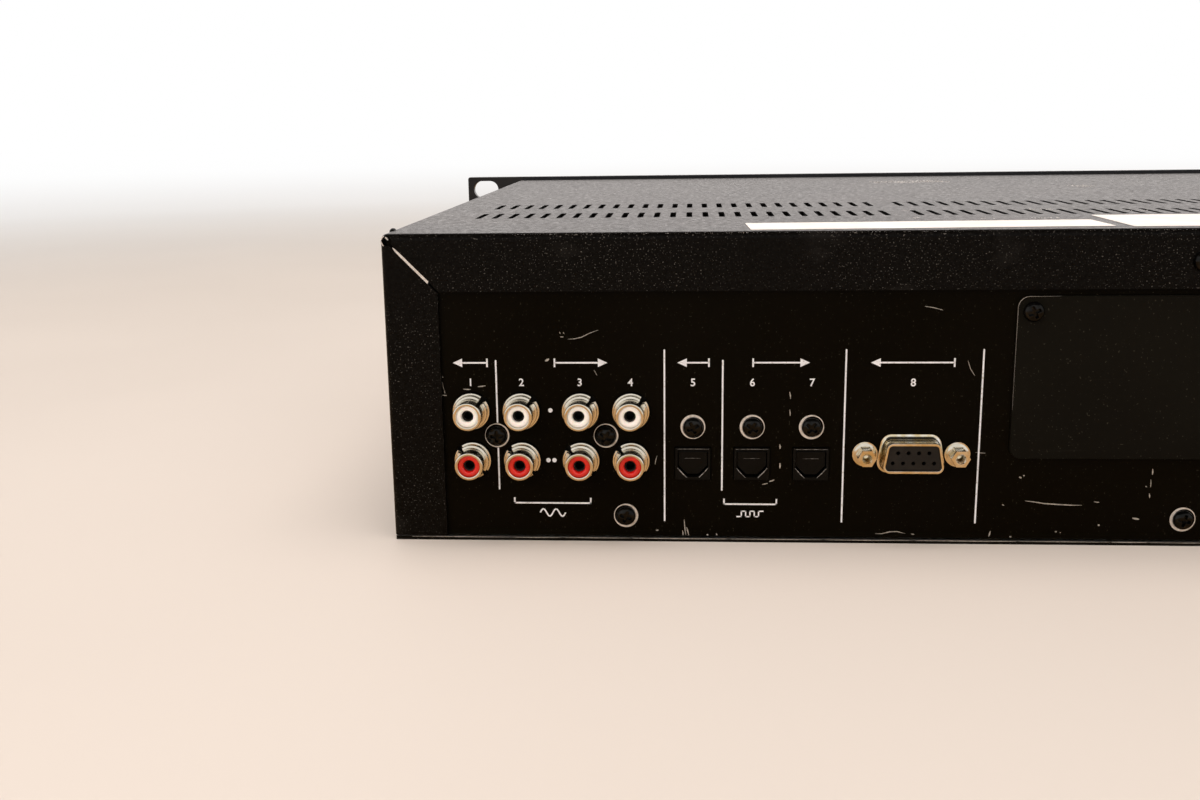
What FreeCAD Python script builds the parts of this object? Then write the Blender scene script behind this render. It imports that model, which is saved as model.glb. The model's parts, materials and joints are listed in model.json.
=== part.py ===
import FreeCAD, Part
import math
import os

# A two-unit 19-inch rack deck that plays compact discs and records minidiscs.
# Millimetres. +Z is up, the front panel faces -Y and the jack panel faces +Y.
# X = 0 and Y = 0 are the middle of the case, and Z = 0 is the face that it stands on.
# Names ending in _gap are running clearances between two pieces.

V = FreeCAD.Vector
X, Y, Z = V(1, 0, 0), V(0, 1, 0), V(0, 0, 1)

# ---- case ------------------------------------------------------------------------------
body_width = 432.0          # over the side walls of the cover
body_height = 86.6          # to the top of the cover
body_depth = 300.0          # from the back of the front panel to the rear flange of the cover
cover_sheet = 1.2
chassis_sheet = 1.2
panel_sheet = 1.2
seat_gap = 0.2              # between two fixed pieces that are fastened together
wall_gap = 0.3              # between the cover's walls and the chassis
edge_inset = 0.4            # the bottom plate stops short of the cover's outside by this much
cover_bend = 1.8            # outer radius of the cover's folds
flange_side = 15.2          # width of the cover's rear flange at each side
flange_top = 15.8           # height of the cover's rear flange along the top
mitre_gap = 0.5             # open line between the two flanges at a corner
relief_radius = 1.3         # hole at the end of that line
upstand_height = 14.0       # low walls of the chassis
front_foot_depth = 9.0      # folded foot of the front chassis wall
front_foot_inset = 4.0      # that foot stops short of the wall's ends
vent_pitch = 5.0
vent_width = 1.8
vent_length = 20.0
vent_group = 26             # slots in one group
vent_groups = 3
vent_rows = (62.5, 103.5)   # middle of each row, measured from the rear edge
relief_offset = 2.7         # from the cover's corner to that hole, along the mitre
boss_radius = 3.5
overcut = 1.0               # a cutting solid runs this far past the face that it cuts
touch_gap = 0.05            # between two fixed pieces that seat on one another

# ---- front panel -----------------------------------------------------------------------
panel_width = 482.6
panel_height = 88.1
panel_thickness = 4.0
panel_corner = 1.0
ear_spacing_x = 465.1
ear_spacing_z = 76.2
ear_slot_length = 12.0
ear_slot_width = 8.2

# ---- jack panel ------------------------------------------------------------------------
rca_pitch = 14.0
rca_insets = (23.2, 53.7)           # from the case's side to the outer column of each block of four
rca_lower_z = 23.4
rca_flange_radius = 5.2
rca_collar_radius = 4.7
rca_barrel_radius = 4.15
rca_bore_radius = 3.3
rca_contact_radius = 1.6
rca_contact_depth = 7.0
rca_reach = 8.2                     # the barrels stand this far out of the panel
rca_flange_sunk = 0.4               # back of the flange, behind the panel's outer face
rca_flange_thickness = 1.4
rca_collar_length = 3.0
rca_notch_radius = 0.9
rca_notch_angles = (45, 135, -45)   # upper row, then both of the lower row
rca_insert_gap = 0.05
rca_insert_sunk = 0.5               # the insert's face lies this far inside the barrel's tip
rca_body_margin = 6.6
thread_gap = 0.1                    # round a screw in its hole
rca_hole_gap = 0.3
optical_insets = (84.8, 101.1, 117.3)
optical_z = 22.6
optical_width = 9.7
optical_height = 9.0
optical_proud = 0.8
optical_screw_rise = 10.4           # from an optical jack's middle up to its screw
optical_tab_setback = 4.0
optical_tab_rim = 1.0
optical_mouth_width = 8.4
optical_mouth_height = 7.6
optical_mouth_chamfer = 2.4
optical_mouth_depth = 14.0
shutter_thickness = 0.8
shutter_pin_radius = 0.5
shutter_setback = 1.6               # from the jack's face back to the shutter's pin
shutter_pin_slack = 0.1
shutter_pin_end = 0.8
shutter_gap = 0.25
dsub_inset = 144.45
dsub_z = 25.6
dsub_width = 16.9
dsub_height = 8.4
dsub_slope = 10.0
dsub_wall = 0.7
dsub_corner = 1.8
dsub_fit = 0.1                      # round the insulator inside the shell
dsub_insulator_sunk = 0.6
dsub_body_margin = 1.0
dsub_neck_half = (5.0, 2.0)
socket_depth = 5.0
dsub_reach = 5.9
dsub_flange_width = 30.8
dsub_flange_height = 12.5
jackscrew_spacing = 25.0
jackscrew_across = 4.4
jackscrew_bore = 1.42
jackscrew_floor = 1.0
jackscrew_tail = 2.0
jackscrew_length = 6.2
jackscrew_washer_radius = 3.45
jackscrew_washer = 0.8
socket_pitch = 2.77
socket_row_pitch = 2.84
socket_radius = 0.55
jack_depth = 17.0                   # the jacks reach this far behind the panel
plate_inset = 170.8                 # from the case's side to the blank plate
plate_width = 110.2
plate_bottom = 24.6
plate_drop = 1.8                    # the blank plate's upper edge lies this far below the cover's flange
plate_corner = 3.0
plate_sheet = 1.0
plate_screw_inset = 4.1
module_width = 44.0                 # the two cut-outs behind the blank plate
module_height = 32.0
module_pitch = 54.0
inlet_inset = 46.0
inlet_z = 36.0
inlet_flange_width = 50.0
inlet_flange_height = 25.0
inlet_flange_thickness = 2.5
inlet_mouth_width = 24.4
inlet_mouth_height = 16.4
inlet_wall = 2.0
inlet_mouth_depth = 15.5
inlet_pin_pitch = 14.0
inlet_pin_drop = 4.0
inlet_screw_spacing = 40.0
inlet_corner = 4.0
inlet_mouth_chamfer = 5.0
inlet_step = 0.5                    # the shell's rim lies this far below the flange's face
inlet_pin_half = (1.0, 2.0)
inlet_pin_tail = 6.0
inlet_pin_sunk = 2.0

# ---- screws ----------------------------------------------------------------------------
screw_head_radius = 2.75
screw_head_height = 1.8
screw_shank_radius = 1.4
screw_length = 5.0
screw_hole_radius = 1.5
recess_width = 0.9
recess_span = 3.2
recess_depth = 1.1
foot_screw_inset = 66.1
foot_screw_middle = -2.6
foot_screw_z = 7.3
top_screw_x = -1.5
top_screw_drop = 8.6
side_screw_inset = 40.0             # from the front and from the rear edge
side_screw_z = 8.2

# ---- circuit boards --------------------------------------------------------------------
board_thickness = 1.6
standoff_height = 7.8
board_side_inset = 11.0             # from the case's side to the boards
board_rear_inset = 34.0             # from the rear flange to the main board
power_board_rear_inset = 24.0
board_clearance = 6.0               # from the minidisc drive's frame to the main board
main_board_width = 185.0
power_board_width = 115.0
power_board_length = 86.0
jack_board_width = 153.0
jack_board_z = (12.0, 50.0)
board_hole_inset = 6.0
key_board_insets = (30.0, 7.0)      # from the case's left and right side
key_board_z = (5.0, 31.0)
key_board_depth = 6.8               # from the chassis wall to the key board
display_board_margin = 4.0
part_lift = 0.05                    # parts stand this far over their board
can_rim = 1.0
# cans as (from the board's right edge, from its rear edge, radius, height)
power_cans = ((14.0, 53.0, 11.0, 34.0), (14.0, 29.0, 11.0, 34.0), (14.0, 9.5, 8.0, 25.0))
main_cans = ((165.0, 20.0, 5.0, 13.0), (151.0, 20.0, 5.0, 13.0), (137.0, 20.0, 5.0, 13.0),
             (123.0, 20.0, 5.0, 13.0))
# chips as (from the main board's right edge, from its rear edge, side, height)
chips = ((135.0, 84.0, 24.0, 2.4), (95.0, 76.0, 20.0, 2.4), (55.0, 90.0, 28.0, 3.4),
         (45.0, 46.0, 14.0, 2.2), (95.0, 36.0, 14.0, 2.2), (145.0, 51.0, 12.0, 2.2), (20.0, 76.0, 12.0, 2.2))
sink_inset = 44.0                   # from the power board's right edge to the heat sink's plate
sink_sheet = 4.0
sink_fin_reach = 10.0
sink_fin_half = 0.8
sink_fin_pitch = 6.0
sink_fins = 9
sink_end = 5.0
sink_height = 32.0
transformer_inset = (35.0, 41.0)    # from the power board's left and rear edges
core_half = 28.0
core_deep = 17.0
core_height = 46.0
core_leg_half = 7.0
core_window_ends = (10.0, 10.0)     # solid core below and above the windows
coil_gap = 0.25
coil_overhang = 7.0
coil_end = 5.5                      # core outside the coil at each side
transformer_foot = 1.9
transformer_foot_width = 10.0
transformer_foot_reach = 6.0
tube_margin = (2.0, 1.0)
tube_corner = 2.0
pane_corner = 0.8
ribbon_thickness = 0.8
ribbon_widths = (22.0, 20.0)
ribbon_offsets = (4.0, 46.0)        # from the display's middle to each cable's left edge
ribbon_drops = (14.0, 12.0)         # from the display's middle, and from the key board's top
ribbon_start = 0.6
ribbon_bend = ((0.3, 6.0), (4.0, 9.0), (12.0, 9.0))
ribbon_run = 30.0
ribbon_arch = 2.0
ribbon_height = 6.0                 # over the main board, where a cable comes down to it
ribbon_end = 10.0
ribbon_tail = ((8.0, 0.0), (2.0, -2.0), (0.0, -5.4))

# ---- controls on the front -------------------------------------------------------------
display_z = 62.0
window_side = 17.3                  # from the window to the disc tray's front, and to the minidisc drive
window_height = 32.0
window_thickness = 2.8
window_gap = 0.2
window_ledge = 3.0
tube_thickness = 6.0
button_width = 15.0
button_height = 7.0
button_proud = 2.0
button_travel = 1.0
button_gap = 0.3
button_lip = 1.4
button_row_z = 21.0
cd_button_offsets = (-22.0, 8.0, 38.0)          # from the middle of the tray
md_button_offsets = (-40.0, -18.0, 4.0, 26.0)   # from the middle of the slot
button_edge = 0.6
button_stem_half = 2.0
button_lip_thickness = 1.0
power_extra = 1.0                   # the power button stands prouder than the rest
left_column_inset = 16.0            # power button and phones jack, from the case's side
right_column_inset = 18.0           # jog dial and input knob, from the case's side
power_z = 62.0
power_width = 16.0
power_height = 9.0
power_travel = 3.0
knob_shaft_radius = 3.0
knob_shaft_gap = 0.35
knob_depth = 12.0
knob_stand_off = 0.8
switch_depth = 1.6
control_body_half = 6.0
switch_half = 3.0
power_switch_half = 7.0
power_switch_length = 20.0
power_switch_rise = 5.0
power_arm = 2.0
knob_bore_depth = 5.0
knob_shaft_reach = 4.0              # the shaft's end, behind the chassis wall
knob_edge = 1.2
pointer_half = 0.5
pointer_depth = 0.6
phones_knob_offset = 28.0           # from the phones jack
phones_knob_radius = 8.0
input_knob_radius = 9.0
jog_z = 58.0
jog_radius = 12.5
jog_dimple_radius = 3.6
phones_jack_bore = 3.2
phones_bush_radius = 4.8
phones_nut_radius = 6.5
phones_nut_height = 2.0
phones_body = 13.0
phones_body_depth = 24.0

# ---- compact disc drive ----------------------------------------------------------------
cd_inset = 98.0                     # from the case's side to the middle of the tray
cd_tray_half = 65.0
cd_tray_bottom = 59.0
cd_tray_thickness = 7.0
cd_tray_length = 162.0              # the places along Y are distances behind the front panel
cd_disc_depth = 70.0
cd_disc_radius = 60.0
disc_gap = 0.5                      # round a disc in its recess
cd_disc_recess = 4.4
cd_small_disc_radius = 40.0
cd_small_recess = 1.3
cd_tray_slot = 34.0
cd_tray_gap = 0.5
cd_door_half = 68.0
cd_door_bottom = 54.0
cd_door_height = 17.0
cd_door_proud = 2.0
cd_door_edge = 0.8
cd_door_gap = 0.4
cd_wall = 2.5
cd_frame_floor = 34.0
cd_frame_floor_sheet = 2.0
cd_frame_top = 71.0
cd_frame_length = 180.0
cd_lip = 4.0
cd_upper_lip = 3.0
cd_lip_thickness = 2.0
cd_leg_x = 58.0
cd_leg_depths = (22.0, 126.0)
cd_leg_radius = 4.0
leg_overlap = 0.5
cd_rack_x = 50.0
cd_rack_height = 4.0
cd_rack_back = 3.0
cd_gear_depth = 22.0
cd_stroke = 136.0
rack_module = 1.0
rack_pinion_teeth = 18
train_module = 0.8
train_gear_teeth = 36
train_pinion_teeth = 12
gear_backlash = 0.22
gear_face = 3.4
rack_gear_lift = 0.2                # the gear's lower face over the rack's
gear_step = 1.4                     # between the two gears of a pair
belt_step = 3.0
gear_hub = 2.5
pinion_hub = 1.4
post_shoulder = 2.0
post_ends = (0.3, 1.0)              # how far the posts stand above their gears
gear_post_radius = 2.0
shaft_gap = 0.05
belt_height = 2.0
belt_thickness = 1.2
belt_gap = 0.1
big_pulley_groove = 10.0
small_pulley_groove = 2.8
pulley_flange = 1.0
pulley_rims = (1.8, 1.6)            # flange over groove, on the large and the small pulley
pulley_play = 0.3                   # belt to each flange
loading_motor_x = -20.0
loading_motor_radius = 10.0
loading_motor_length = 21.0
motor_shaft_radius = 1.0
motor_boss = 1.6
motor_boss_height = 1.0
motor_hole_gap = 2.0
shaft_end = 2.0
traverse_half = 28.0
traverse_depths = (50.0, 156.0)
traverse_top = 56.0
traverse_sheet = 2.0
traverse_window_half = 16.0
traverse_pivot_inset = 2.0          # from the carriage's rear edge
traverse_lug_half = 4.0
traverse_lug_rise = 3.0
traverse_rail = 2.0
traverse_rail_drop = 4.0
traverse_hole_radius = 4.0
well_ends = (4.0, 13.5)             # open floor before and behind the carriage
traverse_pin_radius = 1.5
traverse_pin_length = 3.2
spindle_motor_radius = 11.0
spindle_motor_length = 13.0
turntable_radius = 11.0
turntable_height = 2.0
turntable_cone_radius = 7.4
turntable_cone_height = 2.4
turntable_cone_taper = 1.4
turntable_hub = (4.0, 1.5)          # radius, and drop below the table
disc_plane = 62.6
clamper_radius = 17.0
clamper_neck_radius = 8.0
clamper_hub_radius = 12.0
clamper_bottom = 67.4
clamper_height = 3.0
clamper_cap = 1.2
clamper_recess = (3.2, 2.0)         # radius and depth
clamp_bridge_sheet = 1.2
clamp_bridge_half = 16.0
clamp_hole_radius = 9.0
guide_rod_radius = 1.5
cd_rod_x = 20.0
cd_rod_z = 50.6
pickup_half = 23.0
pickup_length = 22.0
pickup_offset = 16.0                # from the disc's middle to the pickup's front
pickup_step = 0.5
pickup_neck_drop = 1.2
lens_radius = 3.4
lens_height = 2.0
pickup_bottom = 47.5
pickup_top = 58.2
pickup_neck_half = 14.0
pickup_lens_offset = 8.0
pickup_travel = 34.0
sled_gear_teeth = 14
sled_spare_teeth = 2.55             # rack teeth beyond the travel at each end
sled_gear_offset = 50.0             # from the disc's middle
sled_gear_x = 3.0
sled_gear_face = 5.0
sled_motor_gap = 1.0
sled_gear_play = 0.3                # the rack starts this far inside the gear's face
sled_rack_pitch_z = 46.0
sled_motor_radius = 5.5
rod_bracket = 2.5
rod_bracket_drop = 2.6
rod_bracket_gaps = (1.0, 2.0)       # from the pickup's ends of travel to the brackets

# ---- minidisc drive --------------------------------------------------------------------
md_inset = 76.0                     # from the case's side to the middle of the slot
md_slot_width = 71.0
md_slot_height = 9.0
md_slot_z = 64.0
md_window_margin = 4.0              # the chassis wall is open this far beyond the slot's ends
md_window_half = 12.0               # and this far above and below its middle
md_wall = 1.2
md_wall_half = 36.2                 # inner faces of the side walls
md_floor = 40.0
md_wall_top = 73.5
md_frame_length = 120.0
md_leg_x = 30.0
md_leg_depths = (22.0, 112.0)
md_leg_radius = 3.0
md_cartridge_width = 68.0
md_cartridge_height = 5.0
md_cartridge_gap = 0.6
md_holder_sheet = 1.0
md_holder_depth = 14.0
md_holder_length = 68.0
md_holder_drop = 6.0
md_holder_pin_radius = 1.5
md_holder_pins = (10.0, 56.0)       # behind the holder's front
md_guide_gap = 0.2
md_pin_end_gap = 0.1
md_drive_window_half = 21.0
md_drive_window_ends = (14.0, 6.0)
md_head_window_gap = 2.0
md_spindle_offset = 36.0            # behind the holder's front
md_motor_radius = 9.5
md_motor_length = 8.0
md_turntable_radius = 8.5
md_turntable_height = 2.0
md_hub_radius = 3.0
md_hub_height = 1.6
md_shaft_radius = 0.9
md_rod_radius = 1.2
md_rod_x = 11.0
md_rod_z = 48.0
md_pickup_half = 14.0
md_pickup_length = 12.0
md_pickup_height = 8.0
md_pickup_travel = 18.0
md_pickup_drop = 3.0
md_neck_height = 1.4
md_neck_half = 8.0
md_neck_inset = 1.0
md_nut_half = 2.5
md_nut_inset = 3.0
md_screw_x = 18.0
md_screw_radius = 1.2
md_screw_motor_radius = 6.0
md_screw_motor_length = 14.0
md_screw_seat = 3.0                 # depth of the screw in its motor
md_screw_end_gap = 0.6
md_foot_half = 4.0
md_foot_inset = 3.0
md_end_gap = 1.0
md_bracket_rim = 3.0
md_table_gap = 0.4
md_arm_pivot_offset = 90.0          # behind the holder's front
md_arm_root_inset = 4.0
md_arm_root_half = 3.0
md_head_size = (3.0, 5.0)
md_head_rise = 0.5
md_arm_half = 5.0
md_arm_sheet = 1.0
md_arm_z = 70.6
md_arm_reach = 46.0
md_arm_pin_radius = 1.2
md_head_depth = 1.6
md_flap_half = 35.9
md_flap_drop = 10.6
md_flap_sheet = 1.0
md_flap_pin_radius = 1.0
md_flap_pivot_z = 70.0

# ---- derived places --------------------------------------------------------------------
front_y = -body_depth / 2
rear_y = body_depth / 2
half_width = body_width / 2
side_screw_y = (front_y + side_screw_inset, rear_y - side_screw_inset)
foot_screw_x = (half_width - foot_screw_inset, foot_screw_middle, foot_screw_inset - half_width)
face_y = front_y - panel_thickness                      # outside of the front panel
wall_back = front_y + chassis_sheet                     # inside of the chassis's front wall
inner_half = half_width - cover_sheet - wall_gap        # outside of the chassis upstands
cover_under = body_height - cover_sheet
rear_face = rear_y - cover_sheet - seat_gap             # outside of the jack panel
rear_back = rear_face - panel_sheet
floor_z = chassis_sheet
board_z = floor_z + standoff_height
jack_back = rear_back - jack_depth
upstand_rear = rear_back - seat_gap
rca_columns = [half_width - inset for inset in rca_insets]
optical_x = [half_width - inset for inset in optical_insets]
dsub_x = half_width - dsub_inset
inlet_x = inlet_inset - half_width
plate_left = half_width - plate_inset
plate_right = plate_left - plate_width
plate_top = body_height - flange_top - plate_drop
rca_rows = (rca_lower_z, rca_lower_z + rca_pitch)
rca_xs = [x - i * rca_pitch for x in rca_columns for i in (0, 1)]
rca_screws = [(x - rca_pitch / 2, rca_lower_z + rca_pitch / 2) for x in rca_columns]
optical_screw_z = optical_z + optical_screw_rise
key_board_y = wall_back + key_board_depth
power_x = phones_jack_x = left_column_inset - half_width
jog_x = input_knob_x = half_width - right_column_inset
phones_knob_x = phones_jack_x + phones_knob_offset
cd_x = cd_inset - half_width
md_x = half_width - md_inset
cd_button_x = tuple(cd_x + offset for offset in cd_button_offsets)
md_button_x = tuple(md_x + offset for offset in md_button_offsets)
cd_tray_back = front_y + cd_tray_length
cd_disc_y = front_y + cd_disc_depth
cd_frame_back = front_y + cd_frame_length
cd_leg_y = [front_y + depth for depth in cd_leg_depths]
cd_gear_y = front_y + cd_gear_depth
traverse_front, traverse_back = [front_y + depth for depth in traverse_depths]
traverse_pivot_y = traverse_back - traverse_pivot_inset
pickup_front = cd_disc_y + pickup_offset
sled_gear_y = cd_disc_y + sled_gear_offset
md_back = front_y + md_frame_length
md_leg_y = [front_y + depth for depth in md_leg_depths]
md_holder_front = front_y + md_holder_depth
md_holder_pin_y = [md_holder_front + offset for offset in md_holder_pins]
md_spindle_y = md_holder_front + md_spindle_offset
md_arm_pivot_y = md_holder_front + md_arm_pivot_offset
window_left = cd_x + cd_door_half + window_side
window_right = md_x - md_wall_half - md_wall - window_side
display_x = (window_left + window_right) / 2
window_width = window_right - window_left
main_board_x = (half_width - board_side_inset - main_board_width, half_width - board_side_inset)
main_board_y = (md_back + board_clearance, rear_y - board_rear_inset)
power_board_x = (board_side_inset - half_width, board_side_inset - half_width + power_board_width)
power_board_y = (rear_y - power_board_rear_inset - power_board_length, rear_y - power_board_rear_inset)
jack_board_x = (half_width - board_side_inset - jack_board_width, half_width - board_side_inset)
key_board_x = (key_board_insets[0] - half_width, half_width - key_board_insets[1])
cd_door_z = cd_door_bottom + cd_door_height / 2
cd_floor_top = cd_frame_floor + cd_frame_floor_sheet
rack_pinion_radius = rack_module * rack_pinion_teeth / 2
drive_x = cd_x + cd_rack_x - rack_pinion_radius
train_distance = train_module * (train_gear_teeth + train_pinion_teeth) / 2
pulley_x = drive_x - train_distance
rack_gear_z = cd_tray_bottom - cd_rack_height + rack_gear_lift
train_gear_z = rack_gear_z - gear_face - gear_step
belt_z = train_gear_z - belt_height - belt_step
traverse_under = traverse_top - traverse_sheet
traverse_pivot_z = traverse_top - traverse_sheet / 2
md_cavity_half = md_cartridge_width / 2 + md_cartridge_gap
md_cavity_z = (md_slot_z - md_cartridge_height / 2 - md_cartridge_gap / 2,
               md_slot_z + md_cartridge_height / 2 + md_cartridge_gap / 2)
md_floor_top = md_floor + md_wall
option_x = (plate_left + plate_right) / 2
option_z = (plate_bottom + plate_top) / 2

os.makedirs("parts", exist_ok=True)


# ---- helpers ---------------------------------------------------------------------------
def block(xs, ys, zs):
    """A box between two corners, given as (low, high) along each axis in any order."""
    (x0, x1), (y0, y1), (z0, z1) = sorted(xs), sorted(ys), sorted(zs)
    return Part.makeBox(x1 - x0, y1 - y0, z1 - z0, V(x0, y0, z0))


def around(centre, half):
    """The (low, high) pair that lies half each side of a centre."""
    return (centre - half, centre + half)


def rod(x, y, z, radius, length, axis):
    """A cylinder from a point along an axis."""
    return Part.makeCylinder(radius, length, V(x, y, z), axis)


def fuse(*solids):
    """One solid from several that touch or overlap."""
    return solids[0].multiFuse(list(solids[1:])).removeSplitter()


def save(node, *solids):
    """Write one named node; separate pieces stay separate solids."""
    shape = solids[0] if len(solids) == 1 else Part.makeCompound(list(solids))
    shape.exportStep("parts/%s.step" % node)


def prism(points, depth, axis):
    """A straight prism over a closed outline of points."""
    wire = Part.makePolygon(points + [points[0]])
    return Part.Face(wire).extrude(axis * depth)


def slot_y(x, z, y, length, width, depth):
    """A round-ended bar along X, standing through Y."""
    half = (length - width) / 2
    bar = block(around(x, half), (y, y + depth), around(z, width / 2))
    ends = [rod(x + side * half, y, z, width / 2, depth, Y) for side in (-1, 1)]
    return fuse(bar, *ends)


def slot_z(x, y, z, length, width, depth):
    """A round-ended bar along Y, standing through Z."""
    half = (length - width) / 2
    bar = block(around(x, width / 2), around(y, half), (z, z + depth))
    ends = [rod(x, y + side * half, z, width / 2, depth, Z) for side in (-1, 1)]
    return fuse(bar, *ends)


def rounded_plate(xs, ys, zs, radius):
    """A plate that stands in XZ with rounded corners."""
    plate = block(xs, ys, zs)
    edges = [e for e in plate.Edges if abs(e.tangentAt(e.FirstParameter).y) > 0.9]
    return plate.makeFillet(radius, edges)


def involute_angle(radius, base):
    """The polar angle that an involute has turned through at a radius."""
    if radius <= base:
        return 0.0
    pressure = math.acos(base / radius)
    return math.tan(pressure) - pressure


def gear(teeth, module, face, turn=0.0):
    """A spur gear on the Z axis from Z = 0, with one tooth centred at the angle turn (degrees)."""
    pitch = module * teeth / 2
    base = pitch * math.cos(math.radians(20))
    tip, root = pitch + 0.92 * module, pitch - 1.2 * module
    half = (math.pi * module / 2 - gear_backlash) / 2 / pitch + involute_angle(pitch, base)
    start = max(base, root)
    radii = [start + (tip - start) * i / 3 for i in range(4)]
    flank = [(r, half - involute_angle(r, base)) for r in radii]
    outline = []
    for k in range(teeth):
        centre = math.radians(turn) + 2 * math.pi * k / teeth
        profile = [(root, -flank[0][1])] if root < start - 1e-6 else []
        profile += [(r, -a) for r, a in flank] + [(r, a) for r, a in reversed(flank)]
        profile += [(root, flank[0][1])] if root < start - 1e-6 else []
        outline += [V(r * math.cos(centre + a), r * math.sin(centre + a), 0) for r, a in profile]
    return prism(outline, face, Z)


def rack(module, first, last, centre):
    """Teeth along a line: (along, height) points from first to last with a gap at centre."""
    pitch = math.pi * module
    lean = math.tan(math.radians(20))
    half = pitch / 4 - gear_backlash / 2
    tip, root = 0.92 * module, -1.2 * module
    count = range(math.ceil((first - centre) / pitch - 0.5) + 1, math.floor((last - centre) / pitch - 0.5))
    points = []
    for k in count:
        middle = centre + (k + 0.5) * pitch
        foot, top = half - root * lean, half - tip * lean
        points += [(middle - foot, root), (middle - top, tip), (middle + top, tip), (middle + foot, root)]
    return points


def cross_screw(x, y, z, axis, under=0.0):
    """A pan-head cross-recess screw; its head stands out along axis, its shank goes back in."""
    back = axis * -1
    seat = V(x, y, z) + axis * under
    head = Part.makeCylinder(screw_head_radius, screw_head_height, seat, axis)
    rims = [e for e in head.Edges if isinstance(e.Curve, Part.Circle)
            and (e.Curve.Center - seat).dot(axis) > screw_head_height / 2]
    head = head.makeFillet(screw_head_height * 0.55, rims)
    shank = Part.makeCylinder(screw_shank_radius, screw_length, seat, back)
    across = Z if abs(axis.z) < 0.5 else X
    side = axis.cross(across)
    floor = seat + axis * (screw_head_height - recess_depth)
    cuts = []
    for u, v in ((across, side), (side, across)):
        corner = floor - u * (recess_span / 2) - v * (recess_width / 2)
        far = corner + u * recess_span
        wire = Part.makePolygon([corner, far, far + v * recess_width, corner + v * recess_width, corner])
        cuts.append(Part.Face(wire).extrude(axis * (recess_depth + 1)))
    return head.fuse(shank).removeSplitter().cut(cuts)


# ---- case ------------------------------------------------------------------------------
def front_cuts(depth_from, depth_to):
    """What the front panel and the chassis wall behind it are both cut by."""
    ys = (depth_from, depth_to)
    depth = depth_to - depth_from
    cuts = [block(around(cd_x, cd_door_half + cd_door_gap), ys,
                  around(cd_door_z, cd_door_height / 2 + cd_door_gap)),
            block(around(md_x, md_slot_width / 2), ys, around(md_slot_z, md_slot_height / 2)),
            block(around(power_x, power_width / 2 + button_gap), ys,
                  around(power_z, power_height / 2 + button_gap)),
            rod(phones_jack_x, depth_from, button_row_z, phones_bush_radius + seat_gap, depth, Y)]
    for x in cd_button_x + md_button_x:
        cuts.append(block(around(x, button_width / 2 + button_gap), ys,
                          around(button_row_z, button_height / 2 + button_gap)))
    for x, z in ((phones_knob_x, button_row_z), (input_knob_x, button_row_z), (jog_x, jog_z)):
        cuts.append(rod(x, depth_from, z, knob_shaft_radius + knob_shaft_gap, depth, Y))
    return cuts


def standoffs():
    """Bosses pressed up from the chassis under the two lower boards."""
    bosses = []
    for xs, ys in ((main_board_x, main_board_y), (power_board_x, power_board_y)):
        for x in (xs[0] + board_hole_inset, xs[1] - board_hole_inset):
            for y in (ys[0] + board_hole_inset, ys[1] - board_hole_inset):
                bosses.append(rod(x, y, floor_z / 2, boss_radius, board_z - floor_z / 2 - seat_gap, Z))
    return bosses


def make_chassis():
    plate = block(around(0, half_width - edge_inset), (front_y, rear_y - edge_inset), (0, chassis_sheet))
    top = floor_z + upstand_height
    sides = [block((s * (inner_half - chassis_sheet), s * inner_half),
                   (wall_back + seat_gap, upstand_rear), (0, top)) for s in (-1, 1)]
    rear = block(around(0, inner_half), (upstand_rear - chassis_sheet, upstand_rear), (0, top))
    shape = fuse(plate, rear, *sides, *standoffs())
    cuts = []
    for x in foot_screw_x:
        cuts.append(rod(x, rear_y, foot_screw_z, screw_hole_radius, body_depth / 4, Y * -1))
    for y in side_screw_y:
        cuts.append(rod(-half_width, y, side_screw_z, screw_hole_radius, body_width, X))
    save("bottom_chassis", shape.cut(cuts))


def make_front_chassis():
    """The steel wall behind the front panel, with a folded foot that lies on the bottom plate."""
    low = floor_z + touch_gap
    wall = block(around(0, inner_half), (front_y, wall_back), (low, cover_under - wall_gap))
    foot = block(around(0, inner_half - front_foot_inset), (front_y, front_y + front_foot_depth),
                 (low, low + chassis_sheet))
    cuts = front_cuts(front_y - overcut, wall_back + overcut)
    cuts.append(block(around(display_x, window_width / 2 - window_ledge),
                      (front_y - overcut, wall_back + overcut),
                      around(display_z, window_height / 2 - window_ledge)))
    cuts.append(block(around(md_x, md_slot_width / 2 + md_window_margin),
                      (front_y - overcut, wall_back + overcut), around(md_slot_z, md_window_half)))
    save("front_chassis", fuse(wall, foot).cut(cuts))


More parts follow.
